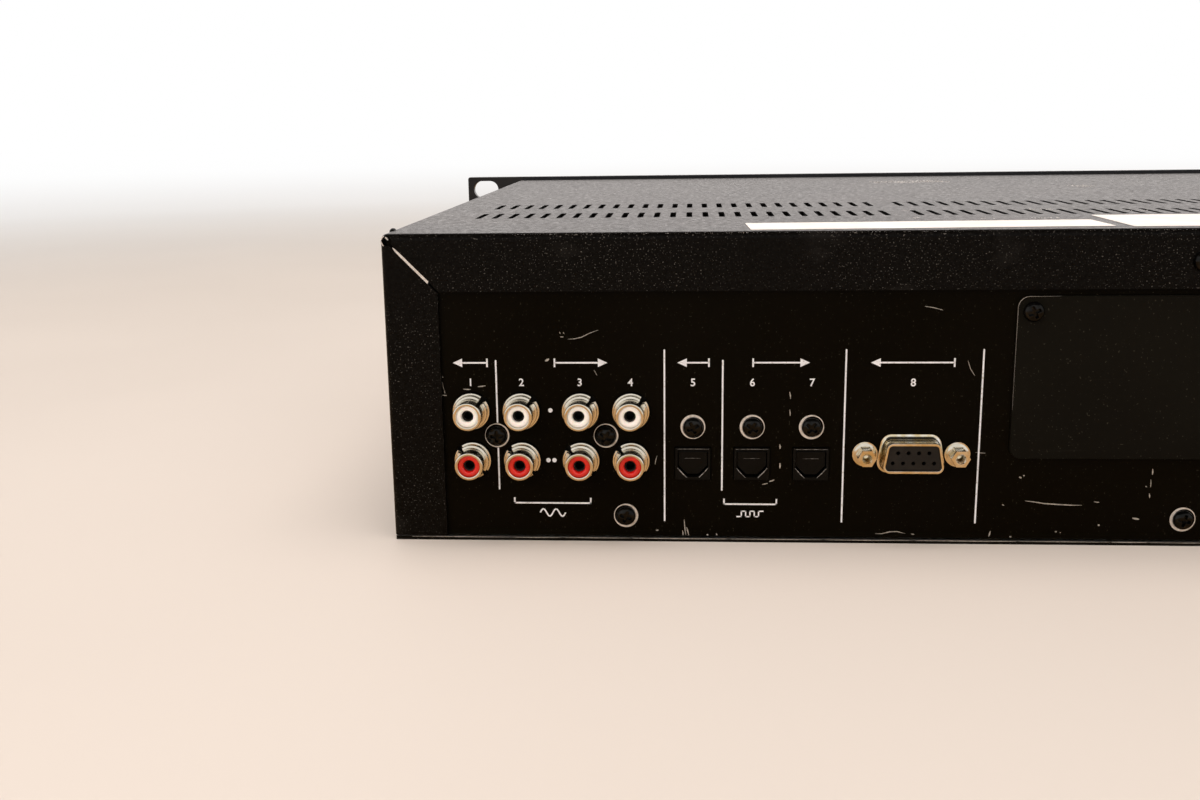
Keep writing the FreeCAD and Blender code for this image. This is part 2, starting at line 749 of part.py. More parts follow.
def make_cover():
    low = floor_z + seat_gap
    outer = block(around(0, half_width), (front_y + seat_gap, rear_y), (low, body_height))
    soft = []
    for edge in outer.Edges:
        box = edge.BoundBox
        is_top = box.ZMin > body_height - 0.01
        is_rear = box.YMin > rear_y - 0.01
        is_side = abs(box.XMin) > half_width - 0.01 and abs(box.XMax - box.XMin) < 0.01
        if (is_top and (is_rear or is_side)) or (is_rear and is_side):
            soft.append(edge)
    outer = outer.makeFillet(cover_bend, soft)
    inner = block(around(0, half_width - cover_sheet), (front_y - overcut, rear_y - cover_sheet),
                  (low - overcut, body_height - cover_sheet))
    window = block(around(0, half_width - flange_side), (rear_y - 2 * cover_sheet, rear_y + overcut),
                   (low - overcut, body_height - flange_top))
    shape = outer.cut([inner, window])
    cuts = []
    rear_cut, cut_depth = rear_y - cover_sheet - overcut, cover_sheet + 2 * overcut
    for side in (-1, 1):
        corner = V(side * half_width, 0, body_height)
        inner_corner = V(side * (half_width - flange_side), 0, body_height - flange_top)
        along = (inner_corner - corner).normalize()
        across = along.cross(Y) * (mitre_gap / 2)
        start, end = corner + along * cover_bend, inner_corner + along * overcut
        line = [p + Y * rear_cut for p in (start + across, end + across, end - across, start - across)]
        cuts.append(prism(line, cut_depth, Y))
        hole = corner + along * relief_offset
        cuts.append(rod(hole.x, rear_cut, hole.z, relief_radius, cut_depth, Y))
    slots = vent_group * vent_groups
    per_group = vent_group + 1
    span = (slots + vent_groups - 2) * vent_pitch
    for row in vent_rows:
        for k in range(slots):
            x = -span / 2 + (k + k // vent_group) * vent_pitch
            cuts.append(slot_z(x, rear_y - row, cover_under - overcut, vent_length, vent_width, cut_depth))
    cuts.append(rod(top_screw_x, rear_cut, body_height - top_screw_drop, screw_hole_radius, cut_depth, Y))
    across_case = body_width + 2 * overcut
    for y in side_screw_y:
        cuts.append(rod(-across_case / 2, y, side_screw_z, screw_hole_radius, across_case, X))
    save("top_cover", shape.cut(cuts))


def make_front_panel():
    plate = rounded_plate(around(0, panel_width / 2), (face_y, front_y - seat_gap / 2),
                          (0, panel_height), panel_corner)
    cuts = front_cuts(face_y - overcut, front_y + overcut)
    cuts.append(block(around(display_x, window_width / 2), (face_y - overcut, front_y + overcut),
                      around(display_z, window_height / 2)))
    for sx in (-1, 1):
        for sz in (-1, 1):
            cuts.append(slot_y(sx * ear_spacing_x / 2, panel_height / 2 + sz * ear_spacing_z / 2,
                               face_y - overcut, ear_slot_length, ear_slot_width,
                               panel_thickness + 2 * overcut))
    save("front_panel", plate.cut(cuts))


def dsub_outline(grow, y):
    """The D outline, wide side down with the row of five, grown by a wall."""
    half_foot = dsub_width / 2 + grow
    half_height = dsub_height / 2 + grow
    half_top = half_foot - 2 * half_height * math.tan(math.radians(dsub_slope))
    return [V(dsub_x - half_top, y, dsub_z + half_height), V(dsub_x + half_top, y, dsub_z + half_height),
            V(dsub_x + half_foot, y, dsub_z - half_height), V(dsub_x - half_foot, y, dsub_z - half_height)]


def dsub_prism(grow, y0, y1, radius):
    """A prism over the D outline with rounded corners."""
    shape = prism(dsub_outline(grow, y0), y1 - y0, Y)
    edges = [e for e in shape.Edges if abs(e.tangentAt(e.FirstParameter).y) > 0.9]
    return shape.makeFillet(radius, edges)


def make_rear_panel():
    plate = block(around(0, inner_half), (rear_back, rear_face), (floor_z + seat_gap, cover_under - seat_gap))
    start, depth = rear_back - overcut, panel_sheet + 2 * overcut
    ys = (start, start + depth)
    cuts = [rod(x, start, z, rca_flange_radius + rca_hole_gap, depth, Y) for x in rca_xs for z in rca_rows]
    for x in optical_x:
        cuts.append(block(around(x, optical_width / 2 + seat_gap), ys,
                          around(optical_z, optical_height / 2 + seat_gap)))
    cuts.append(dsub_prism(seat_gap, ys[0], ys[1], dsub_corner + seat_gap))
    for side in (-1, 1):
        cuts.append(rod(dsub_x + side * jackscrew_spacing / 2, start, dsub_z, screw_hole_radius, depth, Y))
        cuts.append(block(around(option_x + side * module_pitch / 2, module_width / 2), ys,
                          around(option_z, module_height / 2)))
    cuts.append(block(around(inlet_x, inlet_mouth_width / 2 + inlet_wall + seat_gap), ys,
                      around(inlet_z, inlet_mouth_height / 2 + inlet_wall + seat_gap)))
    for x, z in panel_screw_places() + plate_screw_places():
        cuts.append(rod(x, start, z, screw_hole_radius, depth, Y))
    cuts.append(rod(top_screw_x, start, body_height - top_screw_drop, screw_hole_radius, depth, Y))
    save("rear_panel", plate.cut(cuts))


def panel_screw_places():
    """Screws that sit straight on the jack panel, as (X, Z)."""
    places = list(rca_screws)
    places += [(x, optical_screw_z) for x in optical_x]
    places += [(x, foot_screw_z) for x in foot_screw_x]
    places += [(inlet_x + s * inlet_screw_spacing / 2, inlet_z) for s in (-1, 1)]
    return places


def plate_screw_places():
    """Screws of the blank plate: both upper corners and the middle of the lower edge."""
    high, low = plate_top - plate_screw_inset, plate_bottom + plate_screw_inset
    return [(plate_left - plate_screw_inset, high), (plate_right + plate_screw_inset, high), (option_x, low)]


def make_option_plate():
    ys = (rear_face + seat_gap / 2, rear_face + seat_gap / 2 + plate_sheet)
    plate = rounded_plate((plate_right, plate_left), ys, (plate_bottom, plate_top), plate_corner)
    holes = [rod(x, ys[0] - overcut, z, screw_hole_radius, plate_sheet + 2 * overcut, Y)
             for x, z in plate_screw_places()]
    save("option_plate", plate.cut(holes))


def make_screws():
    screws = []
    inlet_front = rear_face + seat_gap + inlet_flange_thickness
    for x, z in panel_screw_places():
        on_inlet = abs(x - inlet_x) < inlet_flange_width / 2 and abs(z - inlet_z) < inlet_flange_height / 2
        screws.append(cross_screw(x, inlet_front if on_inlet else rear_face, z, Y, touch_gap))
    plate_front = rear_face + seat_gap / 2 + plate_sheet
    screws += [cross_screw(x, plate_front, z, Y, touch_gap) for x, z in plate_screw_places()]
    screws.append(cross_screw(top_screw_x, rear_y, body_height - top_screw_drop, Y, touch_gap))
    for side in (-1, 1):
        for y in side_screw_y:
            screws.append(cross_screw(side * half_width, y, side_screw_z, X * side, touch_gap))
    save("screws", *screws)


# ---- jacks -----------------------------------------------------------------------------
def make_rca():
    body_front = rear_back - seat_gap
    bodies = []
    for x in rca_columns:
        xs = (x - rca_pitch - rca_body_margin, x + rca_body_margin)
        zs = (rca_rows[0] - rca_body_margin, rca_rows[1] + rca_body_margin)
        shape = block(xs, (jack_back, body_front), zs)
        hole = rod(x - rca_pitch / 2, body_front, rca_lower_z + rca_pitch / 2,
                   screw_shank_radius + thread_gap, screw_length, Y * -1)
        bodies.append(shape.cut(hole))
    save("rca_bodies", *bodies)

    tip = rear_face + rca_reach
    shells, white, red = [], [], []
    flange_y = rear_face - rca_flange_sunk
    for x in rca_xs:
        for z in rca_rows:
            base = body_front + touch_gap
            shell = fuse(rod(x, base, z, rca_barrel_radius, tip - base, Y),
                         rod(x, base, z, rca_flange_radius, flange_y + rca_flange_thickness - base, Y),
                         rod(x, flange_y, z, rca_collar_radius, rca_collar_length, Y))
            shell = shell.cut(rod(x, base - overcut, z, rca_bore_radius, tip - base + 2 * overcut, Y))
            notches = rca_notch_angles[:1] if z == rca_rows[1] else rca_notch_angles[1:]
            for angle in notches:
                turn = math.radians(angle)
                cx, cz = x - rca_flange_radius * math.cos(turn), z + rca_flange_radius * math.sin(turn)
                shell = shell.cut(rod(cx, rear_face, cz, rca_notch_radius, rca_flange_thickness, Y))
            shells.append(shell)
            insert = rod(x, base, z, rca_bore_radius - rca_insert_gap, tip - rca_insert_sunk - base, Y)
            insert = insert.cut(rod(x, tip - rca_insert_sunk - rca_contact_depth, z, rca_contact_radius,
                                    rca_contact_depth + overcut, Y))
            (white if z == rca_rows[1] else red).append(insert)
    save("rca_shells", *shells)
    save("rca_inserts_white", *white)
    save("rca_inserts_red", *red)


def optical_mouth(x, y0, y1, shrink):
    """The mouth of an optical jack, with its two lower corners cut off."""
    half = optical_mouth_width / 2 - shrink
    top = optical_z + optical_mouth_height / 2 - shrink
    foot = optical_z - optical_mouth_height / 2 + shrink
    cut = optical_mouth_chamfer
    points = [V(x - half, y0, top), V(x + half, y0, top), V(x + half, y0, foot + cut),
              V(x + half - cut, y0, foot), V(x - half + cut, y0, foot), V(x - half, y0, foot + cut)]
    return prism(points, y1 - y0, Y)


def make_optical():
    front = rear_face + optical_proud
    body_front = rear_back - seat_gap
    pivot_y = front - shutter_setback
    pivot_z = optical_z + optical_mouth_height / 2 - shutter_thickness / 2 - shutter_gap
    drop = optical_mouth_height - 2 * shutter_gap - shutter_thickness
    bodies = []
    for number, x in enumerate(optical_x, start=1):
        nose = block(around(x, optical_width / 2), (jack_back, front), around(optical_z, optical_height / 2))
        tab = block(around(x, optical_width / 2), (jack_back + optical_tab_setback, body_front),
                    (optical_z, optical_screw_z + screw_head_radius + optical_tab_rim))
        body = fuse(nose, tab).cut(optical_mouth(x, front - optical_mouth_depth, front + overcut, 0))
        pins = rod(x - optical_width, pivot_y, pivot_z, shutter_pin_radius + shaft_gap, 2 * optical_width, X)
        hole = rod(x, body_front, optical_screw_z, screw_shank_radius + thread_gap, screw_length, Y * -1)
        bodies.append(body.cut([pins, hole]))
        half = optical_mouth_width / 2 - shutter_gap
        cut = optical_mouth_chamfer
        foot = pivot_z - drop
        points = [V(x - half, 0, pivot_z), V(x + half, 0, pivot_z), V(x + half, 0, foot + cut),
                  V(x + half - cut, 0, foot), V(x - half + cut, 0, foot), V(x - half, 0, foot + cut)]
        leaf = prism([p + Y * (pivot_y - shutter_thickness / 2) for p in points], shutter_thickness, Y)
        knuckle = rod(x - half, pivot_y, pivot_z, shutter_thickness / 2, 2 * half, X)
        pin = rod(x - half - shutter_pin_end, pivot_y, pivot_z, shutter_pin_radius - shutter_pin_slack,
                  2 * (half + shutter_pin_end), X)
        save("optical_shutter_%d" % number, fuse(leaf, knuckle, pin))
    save("optical_jacks", *bodies)


def make_dsub():
    tip = rear_face + dsub_reach
    body_front = rear_back - seat_gap
    flange = block(around(dsub_x, dsub_flange_width / 2), (body_front - dsub_wall, body_front),
                   around(dsub_z, dsub_flange_height / 2))
    shell = fuse(flange, dsub_prism(0, body_front - dsub_wall, tip, dsub_corner))
    cuts = [dsub_prism(-dsub_wall, body_front - dsub_wall - overcut, tip + overcut, dsub_corner - dsub_wall)]
    cuts += [rod(dsub_x + s * jackscrew_spacing / 2, body_front - dsub_wall - overcut, dsub_z,
                 screw_hole_radius, dsub_wall + 2 * overcut, Y) for s in (-1, 1)]
    save("dsub_shell", shell.cut(cuts))

    core = dsub_prism(-dsub_wall - dsub_fit, body_front - dsub_wall, tip - dsub_insulator_sunk,
                      dsub_corner - dsub_wall - dsub_fit)
    neck_back = body_front - dsub_wall - dsub_fit
    back = block(around(dsub_x, dsub_width / 2 + dsub_body_margin), (jack_back, neck_back),
                 around(dsub_z, dsub_height / 2 + dsub_body_margin))
    neck = block(around(dsub_x, dsub_neck_half[0]), (neck_back, body_front - dsub_wall),
                 around(dsub_z, dsub_neck_half[1]))
    core = fuse(core, neck, back)
    holes = []
    for row, count in ((1, 4), (-1, 5)):
        for k in range(count):
            x = dsub_x + (k - (count - 1) / 2) * socket_pitch
            holes.append(rod(x, tip - dsub_insulator_sunk - socket_depth, dsub_z + row * socket_row_pitch / 2,
                             socket_radius, socket_depth + overcut, Y))
    save("dsub_insulator", core.cut(holes))

    screws = []
    for side in (-1, 1):
        x = dsub_x + side * jackscrew_spacing / 2
        seat = rear_face + touch_gap
        washer = rod(x, seat, dsub_z, jackscrew_washer_radius, jackscrew_washer, Y)
        radius = jackscrew_across / 2 / math.cos(math.pi / 6)
        corners = [V(x + radius * math.cos(math.radians(60 * k)), seat,
                     dsub_z + radius * math.sin(math.radians(60 * k))) for k in range(6)]
        hexagon = prism(corners, jackscrew_length, Y)
        shank = rod(x, seat, dsub_z, screw_shank_radius, panel_sheet + seat_gap + dsub_wall + jackscrew_tail,
                    Y * -1)
        bore = rod(x, seat + jackscrew_floor, dsub_z, jackscrew_bore, jackscrew_length, Y)
        screws.append(fuse(washer, hexagon, shank).cut(bore))
    save("dsub_jackscrews", *screws)


def make_inlet():
    seat = rear_face + seat_gap
    front = seat + inlet_flange_thickness
    back = front - inlet_mouth_depth - inlet_wall
    flange = rounded_plate(around(inlet_x, inlet_flange_width / 2), (seat, front),
                           around(inlet_z, inlet_flange_height / 2), inlet_corner)
    shell = block(around(inlet_x, inlet_mouth_width / 2 + inlet_wall), (back, front - inlet_step),
                  around(inlet_z, inlet_mouth_height / 2 + inlet_wall))
    mouth = block(around(inlet_x, inlet_mouth_width / 2), (front - inlet_mouth_depth, front + overcut),
                  around(inlet_z, inlet_mouth_height / 2))
    upper = [e for e in mouth.Edges if abs(e.tangentAt(e.FirstParameter).y) > 0.9
             and e.CenterOfMass.z > inlet_z]
    mouth = mouth.makeChamfer(inlet_mouth_chamfer, upper)
    cuts = [mouth]
    for side in (-1, 1):
        x = inlet_x + side * inlet_screw_spacing / 2
        cuts.append(rod(x, seat - overcut, inlet_z, screw_hole_radius,
                        inlet_flange_thickness + 2 * overcut, Y))
    pins = []
    for dx, dz in ((-1, -1), (1, -1), (0, 1)):
        x = inlet_x + dx * inlet_pin_pitch / 2
        z = inlet_z + dz * inlet_pin_drop / 2
        pins.append(block(around(x, inlet_pin_half[0]), (back - inlet_pin_tail, front - inlet_pin_sunk),
                          around(z, inlet_pin_half[1])))
    save("ac_inlet", fuse(flange, shell).cut(cuts + pins), *pins)


# ---- circuit boards and what they carry ------------------------------------------------
def make_boards():
    main = block(main_board_x, main_board_y, (board_z, board_z + board_thickness))
    power = block(power_board_x, power_board_y, (board_z, board_z + board_thickness))
    jack_front = jack_back - seat_gap
    jack = block(jack_board_x, (jack_front - board_thickness, jack_front), jack_board_z)
    key = block(key_board_x, (key_board_y, key_board_y + board_thickness), key_board_z)
    tube_back = wall_back + seat_gap + tube_thickness + seat_gap
    display = block(around(display_x, window_width / 2 + display_board_margin / 2),
                    (tube_back, tube_back + board_thickness),
                    around(display_z, window_height / 2 + display_board_margin))
    save("circuit_boards", main, power, jack, key, display)

    tube = rounded_plate(around(display_x, window_width / 2 - tube_margin[0]),
                         (wall_back + seat_gap, tube_back - seat_gap),
                         around(display_z, window_height / 2 - tube_margin[1]), tube_corner)
    save("display_tube", tube)
    pane_back = front_y - seat_gap
    pane = rounded_plate(around(display_x, window_width / 2 - window_gap),
                         (pane_back - window_thickness, pane_back),
                         around(display_z, window_height / 2 - window_gap), pane_corner)
    save("display_window", pane)


def make_components():
    top = board_z + board_thickness + part_lift
    parts = []
    for (right, rear), cans in (((power_board_x[1], power_board_y[1]), power_cans),
                                ((main_board_x[1], main_board_y[1]), main_cans)):
        for dx, dy, radius, height in cans:
            can = rod(right - dx, rear - dy, top, radius, height, Z)
            rim = [e for e in can.Edges
                   if isinstance(e.Curve, Part.Circle) and e.CenterOfMass.z > top + height / 2]
            parts.append(can.makeFillet(can_rim, rim))
    for dx, dy, side, height in chips:
        parts.append(block(around(main_board_x[1] - dx, side / 2), around(main_board_y[1] - dy, side / 2),
                           (top, top + height)))
    plate_x = power_board_x[1] - sink_inset
    rear = power_board_y[1] - sink_end
    heights = (top, top + sink_height)
    length = (sink_fins - 1) * sink_fin_pitch + 2 * sink_end
    base = block((plate_x, plate_x + sink_sheet), (rear - length, rear), heights)
    fins = [block((plate_x + sink_sheet, plate_x + sink_sheet + sink_fin_reach),
                  around(rear - sink_end - k * sink_fin_pitch, sink_fin_half), heights)
            for k in range(sink_fins)]
    parts.append(fuse(base, *fins))
    save("board_components", *parts)

    middle_x = power_board_x[0] + transformer_inset[0]
    middle_y = power_board_y[1] - transformer_inset[1]
    foot = top + transformer_foot + touch_gap
    window_low, window_high = foot + core_window_ends[0], foot + core_height - core_window_ends[1]
    core = block(around(middle_x, core_half), around(middle_y, core_deep), (foot, foot + core_height))
    window_half = (core_half - 2 * core_leg_half) / 2
    windows = [block(around(middle_x + s * (core_leg_half + window_half), window_half),
                     around(middle_y, core_deep + overcut), (window_low, window_high)) for s in (-1, 1)]
    coil = block(around(middle_x, core_half - coil_end), around(middle_y, core_deep + coil_overhang),
                 (window_low + coil_gap, window_high - coil_gap))
    leg_in, leg_out = core_half - core_leg_half - coil_gap, core_half + overcut
    frame = [block((middle_x + s * leg_in, middle_x + s * leg_out), around(middle_y, core_deep + coil_gap),
                   (window_low, window_high)) for s in (-1, 1)]
    leg = block(around(middle_x, core_leg_half + coil_gap), around(middle_y, core_deep + coil_gap),
                (window_low - overcut, window_high + overcut))
    feet = [block(around(middle_x, core_half + transformer_foot_reach),
                  (middle_y + s * core_deep, middle_y + s * (core_deep - transformer_foot_width)),
                  (top, top + transformer_foot)) for s in (-1, 1)]
    save("transformer", core.cut(windows), coil.cut([leg] + frame), *feet)


def ribbon(x0, x1, points, thickness):
    """A flat cable through (Y, Z) points, as wide as x0 to x1, with rounded turns."""
    side, back = [], []
    for i, (y, z) in enumerate(points):
        before, after = points[max(i - 1, 0)], points[min(i + 1, len(points) - 1)]
        dy, dz = after[0] - before[0], after[1] - before[1]
        size = math.hypot(dy, dz)
        ny, nz = -dz / size * thickness / 2, dy / size * thickness / 2
        side.append(V(x0, y + ny, z + nz))
        back.append(V(x0, y - ny, z - nz))
    return prism(side + back[::-1], x1 - x0, X)


def make_ribbons():
    top = board_z + board_thickness
    board_back = wall_back + 2 * seat_gap + tube_thickness + board_thickness
    starts = ((board_back + ribbon_start, display_z - ribbon_drops[0]),
              (key_board_y + board_thickness + ribbon_start, key_board_z[1] - ribbon_drops[1]))
    cables = []
    for (y0, z0), offset, width in zip(starts, ribbon_offsets, ribbon_widths):
        end, low = main_board_y[0] + ribbon_end, top + ribbon_height
        points = [(y0, z0)] + [(y0 + dy, z0 - dz) for dy, dz in ribbon_bend]
        under = points[-1][1]
        points += [(y0 + ribbon_run, (under + low) / 2 + ribbon_arch), (end - ribbon_run, low + ribbon_arch)]
        points += [(end - dy, low + dz) for dy, dz in ribbon_tail]
        cables.append(ribbon(display_x + offset, display_x + offset + width, points, ribbon_thickness))
    save("ribbon_cables", *cables)


# ---- controls --------------------------------------------------------------------------
def make_button(node, x, z, width, height, proud, travel):
    """A push button: cap through the panel, lip behind the chassis wall, stem to its switch."""
    front = face_y - proud
    lip_y = wall_back + seat_gap
    cap = block(around(x, width / 2), (front, lip_y), around(z, height / 2))
    soft = [e for e in cap.Edges if e.BoundBox.YMax < front + 0.01]
    cap = cap.makeFillet(button_edge, soft)
    lip = block(around(x, width / 2 + button_lip), (lip_y, lip_y + button_lip_thickness),
                around(z, height / 2 + button_lip))
    reach = key_board_y - switch_depth - travel - seat_gap
    stem = block(around(x, button_stem_half), (lip_y, reach), around(z, button_stem_half))
    save(node, fuse(cap, lip, stem))


def make_buttons():
    names = ("cd_stop", "cd_play", "cd_open", "md_record", "md_stop", "md_play", "md_eject")
    for name, x in zip(names, cd_button_x + md_button_x):
        make_button(name + "_button", x, button_row_z, button_width, button_height, button_proud,
                    button_travel)
    make_button("power_button", power_x, power_z, power_width, power_height, button_proud + power_extra,
                power_travel)


def make_switches():
    bodies = []
    for x in cd_button_x + md_button_x:
        bodies.append(block(around(x, switch_half), (key_board_y - switch_depth, key_board_y - touch_gap),
                            around(button_row_z, switch_half)))
    case_y = key_board_y - switch_depth
    case_half = power_height / 2 + power_switch_rise
    case = block(around(power_x, power_switch_half), (case_y, case_y + power_switch_length),
                 around(power_z, case_half))
    arms = [block(around(power_x, power_switch_half), (wall_back + seat_gap, case_y + power_arm),
                  (power_z + s * (case_half - power_arm), power_z + s * case_half)) for s in (-1, 1)]
    bodies.append(fuse(case, *arms))
    for x, z in ((phones_knob_x, button_row_z), (input_knob_x, button_row_z), (jog_x, jog_z)):
        body = block(around(x, control_body_half), (wall_back + seat_gap, key_board_y - touch_gap),
                     around(z, control_body_half))
        bore = rod(x, wall_back, z, knob_shaft_radius + shaft_gap, knob_bore_depth, Y)
        bodies.append(body.cut(bore))
    save("front_switches", *bodies)


def make_knob(node, x, z, radius, depth, dimple):
    """A turned knob on its shaft, with a finger dimple or a pointer groove on its face."""
    back = face_y - knob_stand_off
    grip = rod(x, back, z, radius, depth, Y * -1)
    rim = [e for e in grip.Edges if isinstance(e.Curve, Part.Circle) and e.CenterOfMass.y < back - depth / 2]
    grip = grip.makeFillet(knob_edge, rim)
    shaft = rod(x, back - overcut, z, knob_shaft_radius, wall_back + knob_shaft_reach - back + overcut, Y)
    shape = fuse(grip, shaft)
    front = back - depth
    if dimple:
        centre = V(x, front - jog_dimple_radius * 0.5, z + radius * 0.52)
        shape = shape.cut(Part.makeSphere(jog_dimple_radius, centre))
    else:
        shape = shape.cut(block(around(x, pointer_half), (front - overcut, front + pointer_depth),
                                (z + radius * 0.25, z + radius + overcut)))
    save(node, shape)


def make_phones_jack():
    body = block(around(phones_jack_x, phones_body / 2),
                 (wall_back + seat_gap, wall_back + seat_gap + phones_body_depth),
                 around(button_row_z, phones_body / 2))
    front = face_y - phones_nut_height
    bush = rod(phones_jack_x, front, button_row_z, phones_bush_radius, wall_back + 2 * seat_gap - front, Y)
    nut = rod(phones_jack_x, front, button_row_z, phones_nut_radius, phones_nut_height - touch_gap, Y)
    bore = rod(phones_jack_x, front - overcut, button_row_z, phones_jack_bore, phones_body_depth, Y)
    save("phones_jack", fuse(body, bush, nut).cut(bore))


# ---- compact disc drive ----------------------------------------------------------------
def place(shape, x, y, z):
    """The shape moved to a place."""
    moved = shape.copy()
    moved.translate(V(x, y, z))
    return moved


def wheel_bore(shaft_radius):
    """What clears a shaft through a wheel that is drawn on the Z axis."""
    return Part.makeCylinder(shaft_radius + shaft_gap, body_height, V(0, 0, -body_height / 2))


def make_cd_tray():
    front = front_y
    deck = block(around(cd_x, cd_tray_half), (front, cd_tray_back),
                 (cd_tray_bottom, cd_tray_bottom + cd_tray_thickness))
    top = cd_tray_bottom + cd_tray_thickness
    floor = top - cd_disc_recess
    cuts = [rod(cd_x, cd_disc_y, floor, cd_disc_radius + disc_gap, cd_disc_recess + overcut, Z),
            rod(cd_x, cd_disc_y, floor - cd_small_recess, cd_small_disc_radius + disc_gap,
                cd_small_recess + overcut, Z),
            rod(cd_x, cd_disc_y, cd_tray_bottom - overcut, cd_tray_slot / 2,
                cd_tray_thickness + 2 * overcut, Z),
            block(around(cd_x, cd_tray_slot / 2), (cd_disc_y, cd_tray_back + overcut),
                  (cd_tray_bottom - overcut, top + overcut))]
    first = cd_gear_y - 2 * math.pi * rack_module
    last = cd_gear_y + cd_stroke + 2 * math.pi * rack_module
    line = rack(rack_module, first, min(last, cd_tray_back), cd_gear_y)
    back_x = cd_x + cd_rack_x + 1.2 * rack_module + cd_rack_back
    bottom = cd_tray_bottom - cd_rack_height
    outline = [V(cd_x + cd_rack_x - height, along, bottom) for along, height in line]
    outline += [V(back_x, line[-1][0], bottom), V(back_x, line[0][0], bottom)]
    teeth = prism(outline, cd_rack_height + rack_gear_lift, Z)
    save("cd_tray", fuse(deck.cut(cuts), teeth))

    door = block(around(cd_x, cd_door_half), (face_y - cd_door_proud, front_y - seat_gap),
                 (cd_door_bottom, cd_door_bottom + cd_door_height))
    soft = [e for e in door.Edges if e.BoundBox.YMax < face_y - cd_door_proud + 0.01]
    save("cd_tray_front", door.makeFillet(cd_door_edge, soft))


def make_cd_chassis():
    outer = cd_tray_half + cd_tray_gap + cd_wall
    front = wall_back + seat_gap
    floor = block(around(cd_x, outer), (front, cd_frame_back), (cd_frame_floor, cd_floor_top))
    pieces = [block(around(cd_x, outer), (cd_frame_back - cd_wall, cd_frame_back),
                    (cd_frame_floor, cd_frame_top))]
    lip_top = cd_tray_bottom - wall_gap
    upper = cd_tray_bottom + cd_tray_thickness + wall_gap
    for s in (-1, 1):
        wall_in = cd_x + s * (outer - cd_wall)
        pieces.append(block((wall_in, cd_x + s * outer), (front, cd_frame_back),
                            (cd_frame_floor, cd_frame_top)))
        pieces.append(block((wall_in - s * cd_lip, wall_in + s * cd_wall / 2), (front, cd_frame_back),
                            (lip_top - cd_lip_thickness, lip_top)))
        pieces.append(block((wall_in - s * cd_upper_lip, wall_in + s * cd_wall / 2), (front, cd_frame_back),
                            (upper, upper + cd_lip_thickness)))
        for y in cd_leg_y:
            pieces.append(rod(cd_x + s * cd_leg_x, y, floor_z + touch_gap, cd_leg_radius,
                              cd_frame_floor - floor_z + leg_overlap, Z))
        lug_in = cd_x + s * (traverse_half + wall_gap)
        pieces.append(block((lug_in, lug_in + s * traverse_pin_length),
                            around(traverse_pivot_y, traverse_lug_half),
                            (cd_frame_floor, traverse_pivot_z + traverse_lug_rise)))
    pieces.append(rod(drive_x, cd_gear_y, cd_frame_floor, gear_post_radius,
                      rack_gear_z + gear_face + post_ends[0] - cd_frame_floor, Z))
    pieces.append(rod(pulley_x, cd_gear_y, cd_frame_floor, gear_post_radius,
                      train_gear_z + gear_face + post_ends[1] - cd_frame_floor, Z))
    for x, reach in ((drive_x, train_gear_z - wall_gap), (pulley_x, belt_z - pulley_flange - wall_gap)):
        pieces.append(rod(x, cd_gear_y, cd_frame_floor, gear_post_radius + post_shoulder,
                          reach - cd_frame_floor, Z))
    well = block(around(cd_x, traverse_half + wall_gap),
                 (traverse_front - well_ends[0], traverse_back + well_ends[1]),
                 (cd_frame_floor - overcut, cd_floor_top + overcut))
    shape = fuse(floor.cut(well), *pieces)
    lug_span = traverse_half + wall_gap + traverse_pin_length + overcut
    cuts = [rod(cd_x - lug_span, traverse_pivot_y, traverse_pivot_z, traverse_pin_radius + shaft_gap,
                2 * lug_span, X),
            rod(cd_x + loading_motor_x, cd_gear_y, cd_frame_floor - overcut,
                motor_shaft_radius + motor_hole_gap, cd_frame_floor_sheet + 2 * overcut, Z)]
    save("cd_chassis", shape.cut(cuts))

    bridge_z = cd_frame_top + touch_gap
    bridge = block(around(cd_x, outer), around(cd_disc_y, clamp_bridge_half),
                   (bridge_z, bridge_z + clamp_bridge_sheet))
    save("cd_clamp_bridge", bridge.cut(rod(cd_x, cd_disc_y, bridge_z - overcut, clamp_hole_radius,
                                         clamp_bridge_sheet + 2 * overcut, Z)))
    neck_top = bridge_z + clamp_bridge_sheet + wall_gap
    clamper = fuse(rod(cd_x, cd_disc_y, clamper_bottom, clamper_radius, clamper_height, Z),
                   rod(cd_x, cd_disc_y, clamper_bottom, clamper_neck_radius, neck_top - clamper_bottom, Z),
                   rod(cd_x, cd_disc_y, neck_top, clamper_hub_radius, clamper_cap, Z))
    save("cd_clamper", clamper.cut(rod(cd_x, cd_disc_y, clamper_bottom - overcut, clamper_recess[0],
                                       clamper_recess[1] + overcut, Z)))


